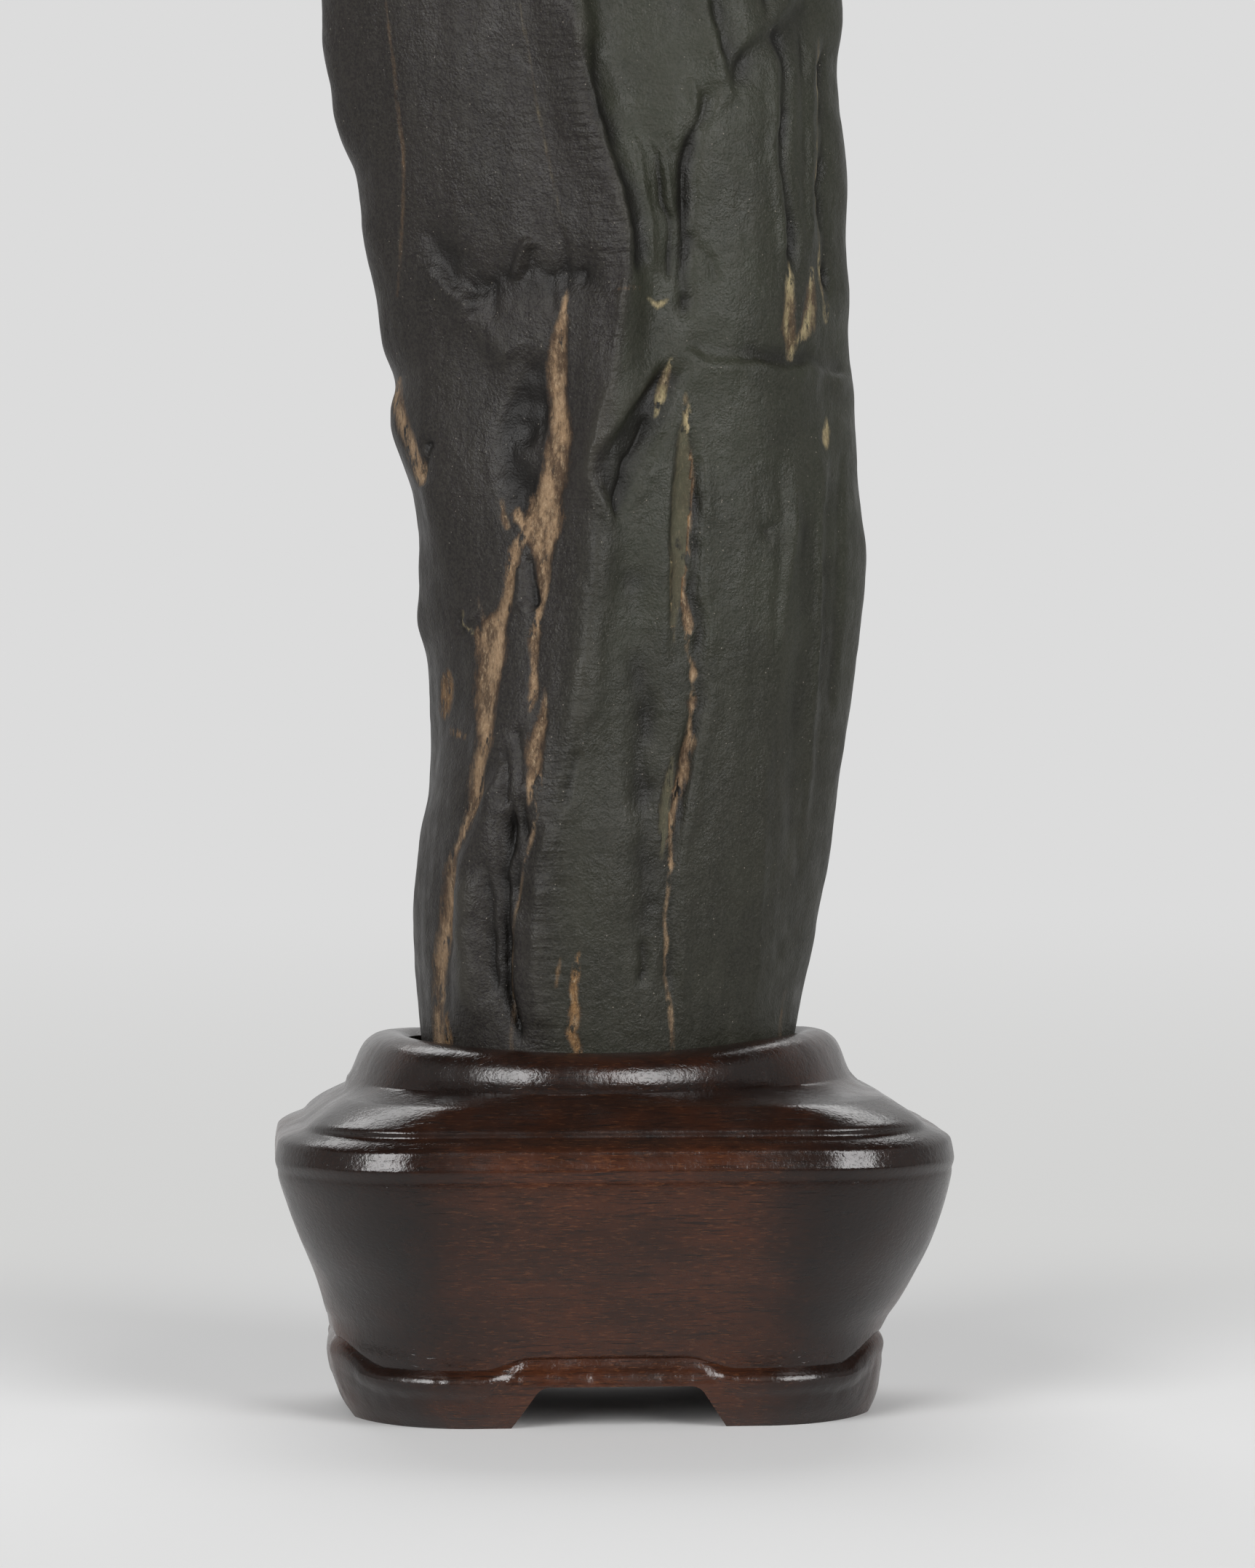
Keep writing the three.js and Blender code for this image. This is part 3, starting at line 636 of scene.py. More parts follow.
def stroke_heights(points, facing, strokes):
    """Sum of the strokes' heights over a grid, in millimetres, and the part of it that cuts in."""
    total = np.zeros(facing.shape)
    cut = np.zeros(facing.shape)
    x = points[..., 0] + 0.35 * lattice_noise(points, 4.5, 31, 2)
    z = points[..., 2] + 0.4 * lattice_noise(points, 5.5, 32, 2)
    uneven = 1 + 0.45 * lattice_noise(points, 7, 33, 2)
    for kind, depth, width, path in strokes:
        reach = width * (6 if kind == STEP else 3)
        xs, zs = [p[0] for p in path], [p[1] for p in path]
        near = (facing > 0) & (x > min(xs) - reach) & (x < max(xs) + reach)
        near &= (z > min(zs) - reach) & (z < max(zs) + reach)
        side, along, _ = line_distance(x[near], z[near], path)
        ends = smooth(0, 0.14, along) * smooth(1, 0.86, along)
        if kind == STEP:
            shape = np.tanh(side / width * 1.5) * np.exp(-((side / width / 3) ** 2))
        elif kind in (CRACK, CREST):
            shape = np.exp(-np.abs(side) / width) * (-1 if kind == CRACK else 1)
        else:
            shape = np.exp(-((side / width) ** 2)) * (-1 if kind == GROOVE else 1)
        height = depth * shape * ends * facing[near] * uneven[near]
        total[near] += height
        cut[near] += np.maximum(-height, 0)
    return total, cut


# %% Even noise
def lattice_noise(points, size, seed, layers=1):
    """Smooth noise from -1 to 1 with bumps of about the given size in millimetres."""
    rng = np.random.default_rng(seed)
    total = np.zeros(points.shape[:-1])
    strength, norm = 1.0, 0.0
    for layer in range(layers):
        lattice = rng.uniform(-1, 1, (32, 32, 32))
        place = points / (np.asarray(size) / 2**layer) + 300
        cell = np.floor(place).astype(int)
        f = place - cell
        f = f * f * f * (f * (6 * f - 15) + 10)
        for corner in range(8):
            step = np.array([corner & 1, (corner >> 1) & 1, (corner >> 2) & 1])
            weight = np.prod(np.where(step, f, 1 - f), axis=-1)
            i, j, k = np.moveaxis((cell + step) % 32, -1, 0)
            total += strength * weight * lattice[i, j, k]
        norm += strength
        strength *= 0.5
    return total / norm * 1.6


# %% Carve the stone
front_facing = smooth(0.05, 0.5, -stone_normals[..., 1])
back_facing = smooth(0.05, 0.5, stone_normals[..., 1])
front_height, front_cut = stroke_heights(stone_points, front_facing, FRONT_STROKES)
back_height, back_cut = stroke_heights(stone_points, back_facing, BACK_STROKES)
upper_part = smooth(268, 300, stone_points[..., 2])
lumps = (0.30 + 0.7 * upper_part) * lattice_noise(stone_points, 15, 1, 2)
pits = 0.05 * lattice_noise(stone_points, 3.2, 2, 2)
flutes = 0.16 * lattice_noise(stone_points, (6, 6, 70), 3, 2)
beside_ridge = stone_points[..., 0] - stone_points[:, RIDGE_COLUMN, 0][:, None]
left_flank = smooth(-9, -4.5, beside_ridge) * smooth(1.5, -1.5, beside_ridge) * front_facing
seated = smooth(CONTACT - 0.5, CONTACT + 5, stone_points[..., 2])
relief = (front_height + back_height + lumps + pits + flutes) * seated
stone_carved = stone_points + stone_normals * relief[..., None]
print("relief from %.1f to %.1f mm" % (relief.min(), relief.max()))

# %% [markdown]
# ## Veins
#
# The stone is threaded with tan and olive veins, cracks that filled with minerals long ago. They
# could be painted on an image, but a picture wraps badly on a lump. Each vein is a line of
# [x, height, half width] points instead. Every vertex keeps how deep it lies inside the nearest
# vein, the vein's half width there, and the vein's tint. The shader draws the vein where that
# depth is more than nothing, and frays the edge with noise, so it stays crisp at any size.

# %% Lines of the veins
TAN, ORANGE, OLIVE, PALE = 0.0, 0.35, 0.7, 1.0
FRONT_VEINS = [
    # the main vein down to its fork
    (TAN, [(-9.6, 213, 0.15), (-10.2, 207, 0.9), (-11.2, 201, 1.7), (-11.4, 195, 2.0), (-11.1, 190, 1.9),
           (-10.8, 186, 2.2), (-11.2, 182, 2.4), (-11.6, 178.5, 2.2), (-12.5, 175.5, 2.6),
           (-13.6, 172.5, 3.3),
           (-14, 169.5, 3.3), (-14.2, 166.5, 3.0), (-14, 164, 2.0), (-14.2, 161.8, 1.6), (-14, 159, 1.2),
           (-13.9, 156.5, 0.9), (-14.2, 154, 0.5), (-14.6, 152, 0.6), (-15, 150.3, 0.7), (-15.8, 148, 1.2),
           (-15.7, 145.7, 1.0), (-15.5, 143.8, 0.7), (-15.7, 141.5, 0.6), (-15.7, 138.5, 1.0),
           (-15.7, 136.5, 0.8), (-16.5, 133.9, 0.2)]),
    (TAN, [(-13.8, 138, 0.2), (-13.8, 134.5, 0.6), (-14.3, 132.3, 1.1), (-14.7, 130.5, 1.3),
           (-15.6, 128, 1.6),
           (-15.9, 125.5, 1.6), (-15.6, 123.5, 1.3), (-16.4, 121.5, 0.9), (-16.6, 119.7, 0.6),
           (-17, 116.5, 0.2)]),
    (TAN, [(-15, 122, 0.4), (-15.1, 119.3, 0.4), (-15.5, 115, 0.25), (-16.2, 112, 0.3), (-17.3, 108, 0.3),
           (-18.6, 102, 0.2), (-19.3, 97.5, 0.25), (-19.9, 94, 0.2), (-20.3, 85, 0.2), (-20.2, 76, 0.2),
           (-19.9, 70, 0.2)]),
    # its left branch
    (TAN, [(-16.5, 167.5, 1.0), (-18.5, 165.3, 0.9), (-19.4, 162.5, 1.0), (-20, 159.5, 1.0),
           (-20.2, 156.5, 0.9),
           (-20.6, 154.2, 1.1), (-21.5, 152, 1.3), (-23, 149.6, 2.4), (-23.5, 147.5, 3.0), (-23.4, 145, 2.6),
           (-23.6, 142.7, 2.3), (-24.3, 140, 2.2), (-24.5, 137, 2.1), (-24.6, 134, 1.8), (-24.8, 130, 1.6),
           (-25.2, 127, 1.1), (-26.1, 124, 0.9), (-26.8, 121, 1.0), (-27.4, 117, 1.0), (-28, 114, 0.8),
           (-28.8, 111, 0.6), (-30, 108, 0.5), (-30.8, 106, 0.7), (-31.2, 103, 1.1), (-31.7, 99, 1.3),
           (-32.2, 95, 1.2), (-32.8, 91.5, 1.0), (-33.2, 87, 1.0), (-33.4, 82, 0.9), (-33.3, 78, 0.7),
           (-33, 74.5, 0.9), (-32.8, 70, 1.1)]),
    (ORANGE, [(-31.7, 77, 0.2), (-31.5, 74.5, 0.5), (-31.4, 71, 0.7)]),
    # fragments round the fork
    (TAN, [(-21.6, 174, 0.2), (-21.4, 171, 0.45), (-20.5, 168.6, 0.5)]),
    (TAN, [(-19.3, 172, 0.4), (-18.6, 170.3, 0.7), (-17.6, 169, 0.7)]),
    (PALE, [(-28.8, 153, 0.15), (-28.8, 150.5, 0.25), (-27.8, 149.8, 0.3), (-26.6, 148.6, 0.3)]),
    (TAN, [(-25.8, 155.5, 0.15), (-25.3, 153.3, 0.25), (-24.8, 151, 0.3)]),
    (ORANGE, [(-31.2, 142, 0.2), (-31.2, 139.7, 0.9), (-31.4, 136.5, 0.9), (-31.6, 134.5, 0.7),
              (-31.8, 132.5, 0.3)]),
    (ORANGE, [(-30.6, 130.6, 0.3), (-30, 129.8, 0.7), (-28.8, 129.2, 0.4)]),
    # left edge
    (TAN, [(-39.9, 197.8, 0.3), (-40.2, 193.4, 0.9), (-39.3, 189.2, 0.8), (-38, 185, 0.9),
           (-36.9, 180.7, 0.9),
           (-36.1, 177.4, 0.4)]),
    # the olive strip with its bright edges, and the beads below it
    (PALE, [(12.6, 193.5, 0.2), (12.9, 190.5, 0.6), (13, 187.5, 0.7), (12.5, 185, 0.3)]),
    (PALE, [(10.2, 200, 0.2), (9.4, 197, 0.7), (8.4, 193, 0.8), (7.2, 189, 0.2)]),
    (OLIVE, [(12.4, 186, 0.9), (12.5, 180.5, 1.8), (12.4, 175, 2.1), (12.0, 169.5, 2.0), (11.7, 163.5, 1.9),
             (11.4, 159, 1.4), (10.9, 154.5, 1.0), (10.5, 150, 0.5)]),
    (PALE, [(11.7, 184, 0.15), (11, 177, 0.2), (10.6, 171, 0.2), (10.2, 165.5, 0.22), (10, 159, 0.22),
            (10, 155, 0.2), (10.3, 150.5, 0.2), (10.6, 146.5, 0.15)]),
    (TAN, [(13.5, 183, 0.3), (14.3, 181, 0.25), (14.7, 177.5, 0.3), (14.5, 174, 0.15), (14, 170, 0.3),
           (13.8, 166.5, 0.15), (13.6, 163.5, 0.35), (12.9, 159.5, 0.2), (12.5, 155.5, 0.5),
           (13.1, 152.5, 0.9),
           (13.6, 150, 1.0), (13.3, 148, 0.4), (13.3, 144.5, 0.2), (14.4, 142.5, 0.5), (14.4, 141, 0.9),
           (14, 139.3, 0.15), (14.4, 137.6, 0.3), (14.2, 135.3, 1.1), (13.9, 133.5, 0.2), (13.8, 131, 0.5),
           (13.8, 128, 0.8), (12.9, 125.5, 0.9), (13, 123, 0.9), (12, 120.5, 1.0), (11.2, 117.5, 0.8),
           (10.7, 114.5, 0.6), (10.1, 110, 0.4), (10.3, 107.2, 0.4), (10.3, 105.6, 0.75), (10, 104, 0.3),
           (9.8, 101, 0.25), (9.1, 96.5, 0.3), (9.4, 90.5, 0.35), (9.2, 83.5, 0.3), (10, 77, 0.4),
           (10.3, 69, 0.3)]),
    (OLIVE, [(10.2, 125, 0.4), (9.9, 120.5, 1.1), (9.1, 116, 1.2), (8.6, 111, 0.8), (8.3, 106, 0.2)]),
    # upper right
    (PALE, [(40.3, 263, 0.15), (40.2, 259, 0.4), (40.1, 255, 0.45), (40.4, 250.5, 0.25), (39.9, 244.5, 0.15),
            (39.4, 239, 0.35), (39.7, 233, 0.3), (40.2, 227.5, 0.15), (40.6, 221, 0.35), (41, 215.5, 0.45),
            (41.8, 210.5, 0.6), (41.6, 208.5, 0.3)]),
    (PALE, [(33.7, 219, 0.3), (33.7, 214, 0.9), (33.6, 209.5, 1.2), (33.4, 206, 1.3), (34.4, 203.5, 1.1),
            (34.3, 201, 0.5)]),
    (PALE, [(38.5, 218, 0.4), (38.1, 212, 1.1), (37.7, 208, 1.4), (36.3, 205.2, 1.0), (35.2, 204, 0.6)]),
    (PALE, [(5.6, 211.2, 0.2), (6.9, 209.8, 0.35), (8.5, 209.8, 0.4), (9.6, 211, 0.2)]),
    (ORANGE, [(0, 212.4, 0.2), (2, 212.6, 0.3), (4.2, 212.8, 0.2)]),
    (PALE, [(41.5, 190, 0.25), (41.5, 187.5, 0.75), (41.3, 185.5, 0.65), (41.1, 183.8, 0.2)]),
    # low
    (ORANGE, [(-7.7, 89, 0.25), (-8.4, 84.5, 0.65), (-8.7, 81, 0.7), (-8.2, 79.5, 0.5), (-8.6, 78, 1.1),
              (-8.4, 76, 0.8), (-9.2, 74, 0.9), (-8.1, 72, 1.0), (-7.5, 69, 0.5)]),
    (ORANGE, [(-11.1, 88, 0.15), (-11.4, 86, 0.3), (-11.9, 82.5, 0.2)]),
    (ORANGE, [(34, 80.5, 0.15), (33.3, 76.5, 0.22), (32.6, 70, 0.22)]),
    (ORANGE, [(-43, 269, 0.15), (-41, 252, 0.22), (-39.5, 235, 0.2), (-40, 223, 0.2), (-40.5, 213, 0.12)]),
    (PALE, [(-18, 266, 0.1), (-15.5, 250, 0.16), (-12.5, 235, 0.14), (-10.5, 226, 0.1)]),
]
BACK_VEINS = [
    (TAN, [(-6, 268, 0.2), (-4, 248, 1.1), (-6, 226, 1.8), (-3, 204, 1.5), (1, 184, 1.9), (-2, 160, 1.1),
           (-5, 138, 0.9), (-3, 112, 0.4)]),
    (ORANGE, [(1, 184, 0.3), (8, 170, 0.9), (13, 150, 1.3), (12, 128, 0.8), (15, 104, 0.3)]),
    (OLIVE, [(-28, 240, 0.3), (-26, 214, 1.2), (-29, 190, 1.5), (-27, 166, 0.4)]),
    (ORANGE, [(24, 252, 0.15), (26, 226, 0.3), (24, 200, 0.2)]),
    (PALE, [(-20, 156, 0.15), (-19, 134, 0.5), (-22, 114, 0.2)]),
]
VEIN_REACH = 7.0  # how far from a vein its distance is still kept, in millimetres


# %% Distances to the veins
def vein_fields(points, facing, veins):
    """How far each point lies inside the nearest vein (negative outside), the vein's half width
    there, and its tint."""
    x, z = points[..., 0], points[..., 2]
    inside = np.full(facing.shape, -VEIN_REACH)
    width = np.zeros(facing.shape)
    tint = np.zeros(facing.shape)
    for hue, line in veins:
        xs, zs = [p[0] for p in line], [p[1] for p in line]
        near = (facing > 0) & (x > min(xs) - VEIN_REACH) & (x < max(xs) + VEIN_REACH)
        near &= (z > min(zs) - 2) & (z < max(zs) + 2)
        away, _, half = line_distance(x[near], z[near], [p[:2] for p in line], [p[2] for p in line])
        deep = half - np.abs(away)
        better = deep > inside[near]
        for field, value in ((inside, deep), (width, half), (tint, np.full(away.shape, hue))):
            field[near] = np.where(better, value, field[near])
    return inside, width, tint


front_veins = vein_fields(stone_points, front_facing, FRONT_VEINS)
back_veins = vein_fields(stone_points, back_facing, BACK_VEINS)
is_front = stone_normals[..., 1] < 0
vein_inside, vein_width, vein_tint = (np.where(is_front, f, b) for f, b in zip(front_veins, back_veins))
VEIN_DEPTH = 0.4  # the veins are softer than the rock and lie a little below it
sunk = VEIN_DEPTH * smooth(-0.5, 0.8, vein_inside) * smooth(0.4, 1.2, vein_width) * seated
stone_carved = stone_carved - stone_normals * sunk[..., None]
print("widest vein: %.1f mm" % (2 * vein_width.max()))


# %% Grids to meshes
def grid_object(name, points, top=None, bottom=None, fields=None):
    """A closed mesh from a grid of points in millimetres, with a point over its top row and under
    its bottom row, and fields of one number for each grid point as attributes."""
    rows, columns = points.shape[:2]
    vertices = points.reshape(-1, 3)
    index = np.arange(rows * columns).reshape(rows, columns)
    right = np.roll(index, -1, axis=1)
    faces = np.stack([index[:-1], right[:-1], right[1:], index[1:]], axis=-1).reshape(-1, 4).tolist()
    for tip, row, flip in ((top, -1, False), (bottom, 0, True)):
        if tip is not None:
            vertices = np.vstack([vertices, tip])
            for i in range(columns):
                edge = [int(index[row, i]), int(right[row, i])]
                faces.append((edge[::-1] if flip else edge) + [len(vertices) - 1])
    mesh = bpy.data.meshes.new(name)
    mesh.from_pydata((vertices * MM).tolist(), [], faces)
    for field, values in (fields or {}).items():
        attribute = mesh.attributes.new(field, "FLOAT", "POINT")
        padded = np.concatenate([values.ravel(), np.zeros(len(vertices) - rows * columns)])
        attribute.data.foreach_set("value", padded.astype(np.float32))
    mesh.shade_smooth()
    made = bpy.data.objects.new(name, mesh)
    scene.collection.objects.link(made)
    mesh.calc_loop_triangles()
    print(name, len(vertices), "vertices,", len(mesh.loop_triangles), "triangles")
    return made


split = 1.2 + 7 * smooth(190, 155, stone_points[..., 2])  # half width of the change of tone at the ridge
right_share = np.where(is_front, smooth(-1, 1, beside_ridge / split), 0.5)
rock = grid_object(
    "rock", stone_carved, top=STONE_TIP, bottom=np.array([0, 2, STONE_FOOT]),
    fields={
        "face": right_share, "hollow": front_cut + back_cut, "relief": relief, "ripple": left_flank,
        "vein_inside": vein_inside, "vein_width": vein_width, "vein_tint": vein_tint,
    },
)

# %% [markdown]
# ## Effects that both materials use
#
# Stone and lacquer share two things: uneven tone in soft patches, and a fine skin that breaks up
# reflections. Each is a node group, built once, and every material that needs it sets its own
# sizes and strengths on the group's sockets.

# %% Group: patches
def new_group(name, inputs, outputs):
    """An empty shader group. Inputs are {name: default}, where a number is a float socket and
    None is a vector. Outputs are names of float sockets."""
    group = bpy.data.node_groups.new(name, "ShaderNodeTree")
    for title, default in inputs.items():
        kind = "NodeSocketVector" if default is None else "NodeSocketFloat"
        socket = group.interface.new_socket(title, in_out="INPUT", socket_type=kind)
        if default is not None:
            socket.default_value = default
    for title in outputs:
        group.interface.new_socket(title, in_out="OUTPUT", socket_type="NodeSocketFloat")
    return group, group.nodes.new("NodeGroupInput"), group.nodes.new("NodeGroupOutput")


def place_group(tree, group, vector, **values):
    """The group in a material, with its Vector linked and its other inputs set."""
    made = tree.nodes.new("ShaderNodeGroup")
    made.node_tree = group
    if vector is not None:
        tree.links.new(vector, made.inputs["Vector"])
    for title, value in values.items():
        socket = made.inputs[title.replace("_", " ")]
        if isinstance(value, bpy.types.NodeSocket):
            tree.links.new(value, socket)
        else:
            socket.default_value = value
    return made


def noise(tree, vector, scale, detail=3.0, roughness=0.55, stretch=None):
    """A noise texture's value on a vector, stretched along the axes when asked."""
    if stretch:
        mapped = node(tree, "ShaderNodeMapping", Scale=stretch)
        tree.links.new(vector, mapped.inputs["Vector"])
        vector = mapped.outputs[0]
    made = node(tree, "ShaderNodeTexNoise", Detail=detail, Roughness=roughness)
    if isinstance(scale, bpy.types.NodeSocket):
        tree.links.new(scale, made.inputs["Scale"])
    else:
        made.inputs["Scale"].default_value = scale
    tree.links.new(vector, made.inputs["Vector"])
    return made.outputs["Fac"]


patches, patches_in, patches_out = new_group(
    "patches", {"Vector": None, "Scale": 80.0, "Sharpness": 0.5}, ["Mask"]
)
raw = noise(patches, patches_in.outputs["Vector"], patches_in.outputs["Scale"], 4.0, 0.6)
shifted = minus(patches, raw, 0.5)
steeper = times(patches, shifted, patches_in.outputs["Sharpness"])
spread = times(patches, steeper, 8.0)
patches.links.new(math_node(patches, "ADD", spread, 0.5, clamp=True), patches_out.inputs["Mask"])
print("group:", patches.name)

# %% Group: skin
skin, skin_in, skin_out = new_group(
    "skin", {"Vector": None, "Coarse Scale": 300.0, "Fine Scale": 1400.0, "Fine Share": 0.4}, ["Height"]
)
coarse = noise(skin, skin_in.outputs["Vector"], skin_in.outputs["Coarse Scale"], 2.0)
fine = noise(skin, skin_in.outputs["Vector"], skin_in.outputs["Fine Scale"], 2.0)
fine_part = times(skin, fine, skin_in.outputs["Fine Share"])
skin.links.new(plus(skin, coarse, fine_part), skin_out.inputs["Height"])
print("group:", skin.name)

# %% [markdown]
# ## The stone's finish
#
# The rock is a dark limestone, rubbed and waxed until it has a soft satin sheen. It is purplish
# black to the left of the ridge and greenish grey to the right of it. Its grooves are painted darker
# as painted shade, its raised parts lighter, partly as rubbed wear and partly as painted highlight,
# and light grains show all over.
#
# The colours could be mixed in one big ramp. It is easier to tune as layers: ground, painted
# shade in the grooves, wear and painted highlight, grains, then veins on top.

# %% Colours of the stone
LEFT_GROUND = srgb(31, 27, 26)
RIGHT_GROUND = srgb(38, 40, 30)
LOW_GROUND = srgb(38, 38, 30)
# dark patches, and the painted shade in the grooves
DIRT_AND_SHADE = srgb(14, 12, 10)
# rubbed wear, and the painted highlight on the raised parts
RUBBED_AND_LIT = srgb(58, 56, 49)
GRAIN = srgb(110, 104, 95)
VEIN_TAN = srgb(138, 114, 88)
VEIN_ORANGE = srgb(124, 94, 60)
VEIN_OLIVE = srgb(72, 71, 56)
VEIN_PALE = srgb(150, 138, 104)
VEIN_BROWN = srgb(58, 43, 31)
VEIN_LIGHT = srgb(178, 157, 128)
VEIN_SHADE = srgb(24, 20, 17)
WAX_SPECULAR = 0.25
STONE_BUMP = 0.00026  # depth of the skin, in metres

print("stone bump", STONE_BUMP * 1000, "mm")


# %% Material helpers
def attribute(tree, name):
    """A number stored on the mesh, read in a shader."""
    return node(tree, "ShaderNodeAttribute", attribute_name=name).outputs["Fac"]


def new_material(name):
    """A material with only a Principled shader. Gives the material, its tree and the shader."""
    material = bpy.data.materials.new(name)
    material.use_nodes = True
    tree = material.node_tree
    tree.nodes.clear()
    shader = node(tree, "ShaderNodeBsdfPrincipled")
    tree.links.new(shader.outputs[0], node(tree, "ShaderNodeOutputMaterial").inputs["Surface"])
    return material, tree, shader


# %% Stone material: ground
stone_finish, tree, shader = new_material("waxed_limestone")
here = node(tree, "ShaderNodeTexCoord").outputs["Object"]
separate = node(tree, "ShaderNodeSeparateXYZ")
tree.links.new(here, separate.inputs[0])
height = separate.outputs["Z"]

ground = blend(tree, attribute(tree, "face"), LEFT_GROUND, RIGHT_GROUND)
low = span(tree, height, 0.17, 0.11)
ground = blend(tree, times(tree, low, attribute(tree, "face")), ground, LOW_GROUND)
patch = place_group(tree, patches, here, Scale=70.0, Sharpness=0.35).outputs["Mask"]
ground = blend(tree, span(tree, patch, 0, 1, 0.0, 0.32), ground, DIRT_AND_SHADE)
streaks = noise(tree, here, 330.0, 4.0, 0.6, stretch=(1, 1, 0.22))
ground = blend(tree, span(tree, streaks, 0.45, 0.75, 0.0, 0.16), ground, RUBBED_AND_LIT)

speckle = place_group(tree, patches, here, Scale=1700.0, Sharpness=0.6).outputs["Mask"]
ground = blend(tree, span(tree, speckle, 0, 1, 0.0, 0.3), ground, RUBBED_AND_LIT)

# %% Stone material: painted shade in the grooves, wear and painted highlight on the raised parts
# painted shade: darker where the strokes cut in
groove_shade = span(tree, attribute(tree, "hollow"), 0.2, 1.5, 0.0, 0.85)
ground = blend(tree, groove_shade, ground, DIRT_AND_SHADE)
# lighter on the raised parts: partly rubbed wear, partly painted highlight
worn_and_lit = span(tree, attribute(tree, "relief"), 0.6, 2.0, 0.0, 0.45)
ground = blend(tree, worn_and_lit, ground, RUBBED_AND_LIT)
print("ground, dirt and wear:", len(tree.nodes), "nodes")

# %% Stone material: grains
grains = node(tree, "ShaderNodeTexVoronoi", Scale=900.0, feature="F1")
tree.links.new(here, grains.inputs["Vector"])
near_grain = span(tree, grains.outputs["Distance"], 0.16, 0.05)
rare = span(tree, noise(tree, here, 1100.0, 1.0), 0.56, 0.66)
ground = blend(tree, times(tree, near_grain, rare), ground, GRAIN)
print("with grains:", len(tree.nodes), "nodes")

# %% Stone material: where the veins are
# Their edges are frayed, and gaps are more frequent where a vein is thin.
wide = attribute(tree, "vein_width")
wander = minus(tree, noise(tree, here, 700.0, 6.0, 0.75, stretch=(1, 1, 0.35)), 0.5)
fray = times(tree, wander, plus(tree, times(tree, wide, 1.3), 0.9))  # wide veins fray more
inside = plus(tree, attribute(tree, "vein_inside"), fray)
inside = minus(tree, inside, span(tree, wide, 0.5, 0.1, 0.0, 0.12))
gaps = noise(tree, here, 560.0, 5.0, 0.65, stretch=(1, 1, 0.4))
fuller = plus(tree, gaps, times(tree, wide, 0.075))
fuller = plus(tree, fuller, span(tree, wide, 0.3, 0.18, 0.0, 0.1))
vein = times(tree, span(tree, inside, -0.45, 0.55), span(tree, fuller, 0.43, 0.55))
vein = times(tree, vein, span(tree, wide, 0.12, 0.4, 0.35, 1.0))

# %% Stone material: what the veins look like
# Brown stains and pale flakes, except in the olive ones, which are even.
tint = node(tree, "ShaderNodeValToRGB")
tint.color_ramp.interpolation = "CONSTANT"
tint.color_ramp.elements[0].color = VEIN_TAN
tint.color_ramp.elements[1].position = 0.2
tint.color_ramp.elements[1].color = VEIN_ORANGE
for position, colour in ((0.52, VEIN_OLIVE), (0.85, VEIN_PALE)):
    tint.color_ramp.elements.new(position).color = colour
tree.links.new(attribute(tree, "vein_tint"), tint.inputs[0])
off_olive = math_node(tree, "ABSOLUTE", minus(tree, attribute(tree, "vein_tint"), OLIVE))
olive = math_node(tree, "LESS_THAN", off_olive, 0.1)
mottled = minus(tree, 1.0, times(tree, olive, 0.8))
stains = noise(tree, here, 210.0, 6.0, 0.7, stretch=(1, 1, 0.5))
stained = times(tree, span(tree, stains, 0.43, 0.60, 0.0, 0.85), mottled)
warm = span(tree, noise(tree, here, 130.0, 3.0), 0.5, 0.65, 0.0, 0.15)
veined = blend(tree, times(tree, warm, mottled), tint.outputs[0], VEIN_ORANGE)
veined = blend(tree, stained, veined, VEIN_BROWN)
flakes = noise(tree, here, 1900.0, 5.0, 0.75, stretch=(1, 1, 0.45))
lighter = times(tree, span(tree, flakes, 0.50, 0.70, 0.0, 0.6), mottled)
veined = blend(tree, lighter, veined, VEIN_LIGHT)
darker = times(tree, span(tree, flakes, 0.47, 0.32, 0.0, 0.6), mottled)
veined = blend(tree, darker, veined, VEIN_BROWN)
margin = times(tree, span(tree, inside, 1.5, 0.0, 0.0, 0.8), span(tree, wide, 0.5, 1.4))
margin = times(tree, margin, mottled)
veined = blend(tree, margin, veined, VEIN_BROWN)
rim = span(tree, inside, -0.9, 0.1, 0.0, 0.5)
ground = blend(tree, times(tree, rim, span(tree, wide, 0.3, 1.0)), ground, VEIN_SHADE)
colour = blend(tree, vein, ground, veined)
tree.links.new(colour, shader.inputs["Base Color"])
print("with veins:", len(tree.nodes), "nodes")

# %% Stone material: sheen and skin
gloss = span(tree, noise(tree, here, 160.0, 4.0), 0.3, 0.7, 0.42, 0.56)
rougher = plus(tree, gloss, times(tree, vein, 0.18))
tree.links.new(rougher, shader.inputs["Roughness"])
shader.inputs["Specular IOR Level"].default_value = WAX_SPECULAR
fine_skin = place_group(tree, skin, here, Coarse_Scale=480.0, Fine_Scale=2200.0, Fine_Share=0.6)
ripples = noise(tree, here, 560.0, 2.0, 0.5, stretch=(0.3, 0.3, 1.4))
rippled = times(tree, ripples, span(tree, attribute(tree, "ripple"), 0, 1, 0.12, 1.5))
height_sum = plus(tree, fine_skin.outputs["Height"], rippled)
height_sum = plus(tree, height_sum, times(tree, streaks, 0.5))
flake_height = plus(tree, times(tree, flakes, 1.5), -1.2)
rough_vein = times(tree, vein, flake_height)
height_sum = plus(tree, height_sum, rough_vein)
bump = node(tree, "ShaderNodeBump", Strength=1.0, Distance=STONE_BUMP)
tree.links.new(height_sum, bump.inputs["Height"])
tree.links.new(bump.outputs[0], shader.inputs["Normal"])
rock.data.materials.append(stone_finish)
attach(rock, "root")
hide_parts("stone")
print("stone finished with", len(tree.nodes), "nodes")

